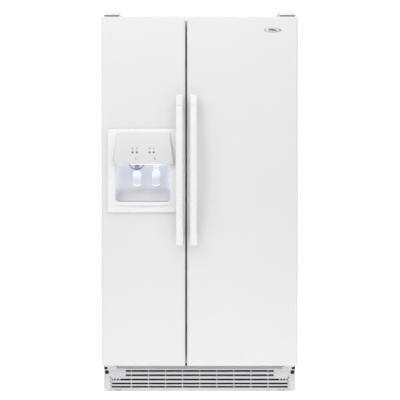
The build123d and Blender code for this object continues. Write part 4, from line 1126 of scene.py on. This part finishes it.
# ---- Cabinet -------------------------------------------------------------------------------
class REFRIGERATOR_OT_cabinet(bpy.types.Operator):
    """Build the painted wrapper, the back panel and the louvers on the machine compartment's cover"""

    bl_idname = "refrigerator.cabinet"
    bl_label = "Cabinet Shell"

    def execute(self, context):
        self.wrapper()
        self.back_panel()
        self.machine_cover()
        return {"FINISHED"}

    def outline(self, low, high, inset, toe_inset):
        """Points up one side, over the rounded top and down the other side, with its own inset at the toe."""
        toe = 0.131
        radius = max(0.008 - inset, 0.002)
        points = [(low.x + toe_inset, low.z), (low.x + toe_inset, toe), (low.x + inset, toe + 0.0005)]
        for step in range(7):
            angle = math.radians(180 - 15 * step)
            x, z = low.x + inset + radius, high.z - inset - radius
            points.append((x + radius * math.cos(angle), z + radius * math.sin(angle)))
        mirror = low.x + high.x
        return points + [(mirror - x, z) for x, z in reversed(points)]

    def wrapper(self):
        """The painted sheet over both sides and the top, turned in at its front edge, and the door sill."""
        low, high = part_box("cabinet_wrapper")
        sheet = sizes().sheet
        fold = 0.013

        def ring(y, outer, inner):
            outside = self.outline(low, high, outer, outer)
            inside = self.outline(low, high, inner, sheet + 0.0002)
            return [Vector((x, y, z)) for x, z in outside + inside[::-1]]

        steps = (
            (low.y, 0.0010, fold), (low.y + 0.0003, 0.0004, fold), (low.y + sheet, 0.0, fold),
            (low.y + sheet + 0.0001, 0.0, sheet), (low.y + 0.02, 0.0, sheet),
            (high.y - 0.004, 0.0, sheet), (high.y, 0.0, sheet),
        )
        bm = bmesh.new()
        join_rings(bm, [ring(*step) for step in steps])
        sill_low = (low.x + 0.002, low.y + 0.0002, 0.1312)
        soft_box(bm, sill_low, (high.x - 0.002, low.y + 0.0014, 0.1410), 0)
        add_piece("wrapper_painted", bm, "cabinet", "white_paint", ["cabinet_wrapper"], 50)

    def back_panel(self):
        """The rear sheet with its raised border, pressed ribs and screws."""
        low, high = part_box("back_panel")
        bm = bmesh.new()
        thick = 0.0008
        face = high.y - 0.0009

        def sheet_ring(inset, y):
            outline = grown((low.x, low.z), (high.x, high.z), -inset)
            return upright_ring(*outline, 0.004 + inset * 0.2, y, 4)

        steps = ((0, face), (0.030, face), (0.034, high.y), (0.046, high.y), (0.050, face))
        rings = [sheet_ring(inset, y) for inset, y in reversed(steps)]
        join_rings(bm, rings + [sheet_ring(0, face - thick)])
        add_piece("back_panel_sheet", bm, "cabinet", "sheet_steel", ["back_panel"], 40)
        rib = bmesh.new()
        half = (high.x - low.x) / 2 - 0.10
        rings = []
        for inset, y in ((0, 0), (0.004, 0.0009), (0.006, 0.0009)):
            outline = grown((-half, -0.010), (half, 0.010), -inset)
            rings.append(upright_ring(*outline, 0.009 - inset * 0.8, y, 6))
        join_rings(rib, rings)
        points = [(0, face - 0.00005, low.z + 0.16 + 0.225 * index) for index in range(6)]
        repeated("back_panel_ribs", rib, points, "cabinet", "sheet_steel")
        self.screw_row(high.y + 0.0004, low, high)

    def screw_row(self, y, low, high):
        """Hex washer screws round the back's edges."""
        screw = bmesh.new()
        for radius, front, back, count in ((0.0065, -0.001, 0.0006, 20), (0.0042, 0.0, 0.0034, 6)):
            join_rings(screw, [circle_ring((0, t, 0), (0, 1, 0), radius, count) for t in (front, back)])
        points = []
        for index in range(7):
            z = low.z + 0.03 + (high.z - low.z - 0.06) * index / 6
            points += [(low.x + 0.012, y - 0.0012, z), (high.x - 0.012, y - 0.0012, z)]
        for z in (high.z - 0.012, low.z + 0.012):
            points += [(x * 0.2, y - 0.0012, z) for x in (-1.5, -0.5, 0.5, 1.5)]
        repeated("back_screws", screw, points, "cabinet", "steel")

    def machine_cover(self):
        """The rear cover's vents: rows of pressed louvers."""
        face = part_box("machine_cover")[1].y - 0.0002
        louver = bmesh.new()
        section = [(0.0, -0.005), (0.0022, -0.0042), (0.0022, -0.0036), (0.0002, 0.0035), (0.0, 0.004)]
        join_rings(louver, [[Vector((x, y, z)) for y, z in section] for x in (-0.045, 0.045)])
        points = []
        for x in (-0.30, -0.18, -0.06, 0.06, 0.18, 0.30):
            points += [(x, face, 0.0945 + 0.024 * row) for row in range(6)]
        repeated("machine_cover_louvers", louver, points, "cabinet", "sheet_steel")


# ---- Carried-over nodes ----------------------------------------------------------------------
NODE_FINISHES = {
    "white_paint": ("bottom_hinges",),
    "liner_plastic": (
        "freezer_liner", "fridge_liner", "freezer_door_liner", "fridge_door_liner", "centre_rail",
        "evaporator_cover", "shelf_frames",
    ),
    "white_plastic": ("freezer_basket", "freezer_knob", "fridge_knob"),
    "pale_plastic": ("control_housing", "light_lenses", "freezer_light_switch", "fridge_light_switch"),
    "chute_plastic": ("ice_chute",),
    "grey_plastic": ("chute_flap", "ice_maker", "front_rollers", "rear_rollers", "water_valve"),
    "dark_plastic": ("condenser_fan", "evaporator_fan"),
    "foam": ("insulation",),
    "steel": ("top_hinges", "levelling_legs", "screws"),
    "sheet_steel": ("machine_cover",),
    "aluminium": ("evaporator",),
    # base_frame is black enamel rather than plated steel: it paints the shade seen through the base grille's
    # slots.
    "black_metal": ("base_frame", "compressor", "condenser_coil"),
    "glass": ("shelf_panes",),
    "wire": ("freezer_shelves",),
    "clear_plastic": (
        "upper_crisper", "lower_crisper", "ice_bin", "freezer_door_bins", "fridge_door_bins", "dairy_lid",
    ),
}


class REFRIGERATOR_OT_carried_finishes(bpy.types.Operator):
    """Give every carried-over node its procedural finish"""

    bl_idname = "refrigerator.carried_finishes"
    bl_label = "Finishes of Carried Nodes"

    def execute(self, context):
        for finish_name, nodes in NODE_FINISHES.items():
            for node in nodes:
                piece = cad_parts[node]
                if not piece.material_slots:
                    piece.data.materials.append(None)
                for place in piece.material_slots:
                    place.material = finish(finish_name)
        return {"FINISHED"}


# ---- Stage -----------------------------------------------------------------------------------
class REFRIGERATOR_OT_stage(bpy.types.Operator):
    """Set the floor, the studio light and the camera"""

    bl_idname = "refrigerator.stage"
    bl_label = "Floor, Lights and Camera"

    def execute(self, context):
        self.floor()
        self.world()
        self.area("key_light", (-2.4, -2.6, 3.2), (0, -0.3, 1.1), 2.4, 58)
        self.area("top_light", (0.6, -2.2, 3.8), (0, -0.3, 1.2), 2.6, 45)
        self.area("fill_light", (3.4, -2.6, 1.6), (0, -0.3, 0.8), 2.4, 24)
        self.area("rear_light", (1.5, 3.6, 2.6), (0, 0.4, 0.9), 2.4, 40)
        self.camera()
        context.scene.view_settings.view_transform = "Standard"
        return {"FINISHED"}

    def floor(self):
        """A pale floor that gives a little light of its own."""
        bm = bmesh.new()
        bmesh.ops.create_grid(bm, x_segments=2, y_segments=2, size=3.0)
        mesh = bpy.data.meshes.new("studio_floor")
        bm.to_mesh(mesh)
        bm.free()
        floor = bpy.data.objects.new("studio_floor", mesh)
        bpy.context.collection.objects.link(floor)
        material, tree, shader, place = new_finish("studio_floor")
        base_colour(tree, shader, noise(tree, place, 0.5), (0.95, 0.95, 0.95), 0.005)
        shader.inputs["Roughness"].default_value = 0.9
        shader.inputs["Emission Color"].default_value = (1, 1, 1, 1)
        shader.inputs["Emission Strength"].default_value = 0.48
        mesh.materials.append(material)

    def world(self):
        """A white backdrop that lights the pieces less than it shows."""
        world = bpy.data.worlds.new("studio")
        bpy.context.scene.world = world
        world.use_nodes = True
        tree = world.node_tree
        room = tree.nodes["Background"]
        room.inputs["Strength"].default_value = 0.34
        room.inputs["Color"].default_value = (1, 1, 1, 1)
        backdrop = tree.nodes.new("ShaderNodeBackground")
        backdrop.inputs["Color"].default_value = (1, 1, 1, 1)
        backdrop.inputs["Strength"].default_value = 1.05
        path = tree.nodes.new("ShaderNodeLightPath")
        choice = tree.nodes.new("ShaderNodeMixShader")
        tree.links.new(path.outputs["Is Camera Ray"], choice.inputs["Fac"])
        tree.links.new(room.outputs["Background"], choice.inputs[1])
        tree.links.new(backdrop.outputs["Background"], choice.inputs[2])
        tree.links.new(choice.outputs["Shader"], tree.nodes["World Output"].inputs["Surface"])

    def area(self, name, place, target, width, power):
        """A square light, aimed at a point."""
        light = bpy.data.lights.new(name, "AREA")
        light.shape = "RECTANGLE"
        light.size = width
        light.size_y = width
        light.energy = power
        lamp = bpy.data.objects.new(name, light)
        bpy.context.collection.objects.link(lamp)
        lamp.location = place
        lamp.rotation_euler = (Vector(target) - Vector(place)).to_track_quat("-Z", "Y").to_euler()

    def camera(self):
        """A level camera in front of the doors."""
        lens = bpy.data.cameras.new("camera")
        lens.lens = 64.7
        lens.sensor_width = 36
        camera = bpy.data.objects.new("camera", lens)
        bpy.context.collection.objects.link(camera)
        camera.location = (0.0016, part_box("fridge_door_skin")[0].y - 3.300, 0.897)
        camera.rotation_euler = (math.radians(90), 0, 0)
        bpy.context.scene.camera = camera


# ---- Panel and registration --------------------------------------------------------------------
OPERATORS = (
    REFRIGERATOR_OT_doors,
    REFRIGERATOR_OT_handles,
    REFRIGERATOR_OT_dispenser,
    REFRIGERATOR_OT_controls,
    REFRIGERATOR_OT_paddles,
    REFRIGERATOR_OT_badge,
    REFRIGERATOR_OT_base_grille,
    REFRIGERATOR_OT_hinge_covers,
    REFRIGERATOR_OT_cabinet,
    REFRIGERATOR_OT_carried_finishes,
    REFRIGERATOR_OT_stage,
)


class REFRIGERATOR_PT_pieces(bpy.types.Panel):
    """Lists the refrigerator's operators in the sidebar"""

    bl_idname = "REFRIGERATOR_PT_pieces"
    bl_label = "Side by Side Refrigerator"
    bl_space_type = "VIEW_3D"
    bl_region_type = "UI"
    bl_category = "Refrigerator"

    def draw(self, context):
        for operator in OPERATORS:
            self.layout.operator(operator.bl_idname)


def register():
    """Register the properties, operators and panel."""
    for group in (RefrigeratorSizes, RefrigeratorColours, *OPERATORS, REFRIGERATOR_PT_pieces):
        bpy.utils.register_class(group)
    bpy.types.Scene.refrigerator_sizes = PointerProperty(type=RefrigeratorSizes)
    bpy.types.Scene.refrigerator_colours = PointerProperty(type=RefrigeratorColours)


def unregister():
    """Take everything that register added away again."""
    del bpy.types.Scene.refrigerator_colours
    del bpy.types.Scene.refrigerator_sizes
    for group in reversed((RefrigeratorSizes, RefrigeratorColours, *OPERATORS, REFRIGERATOR_PT_pieces)):
        bpy.utils.unregister_class(group)


def main():
    register()
    for operator in OPERATORS:
        group, name = operator.bl_idname.split(".")
        getattr(getattr(bpy.ops, group), name)()


if __name__ == "__main__":
    main()
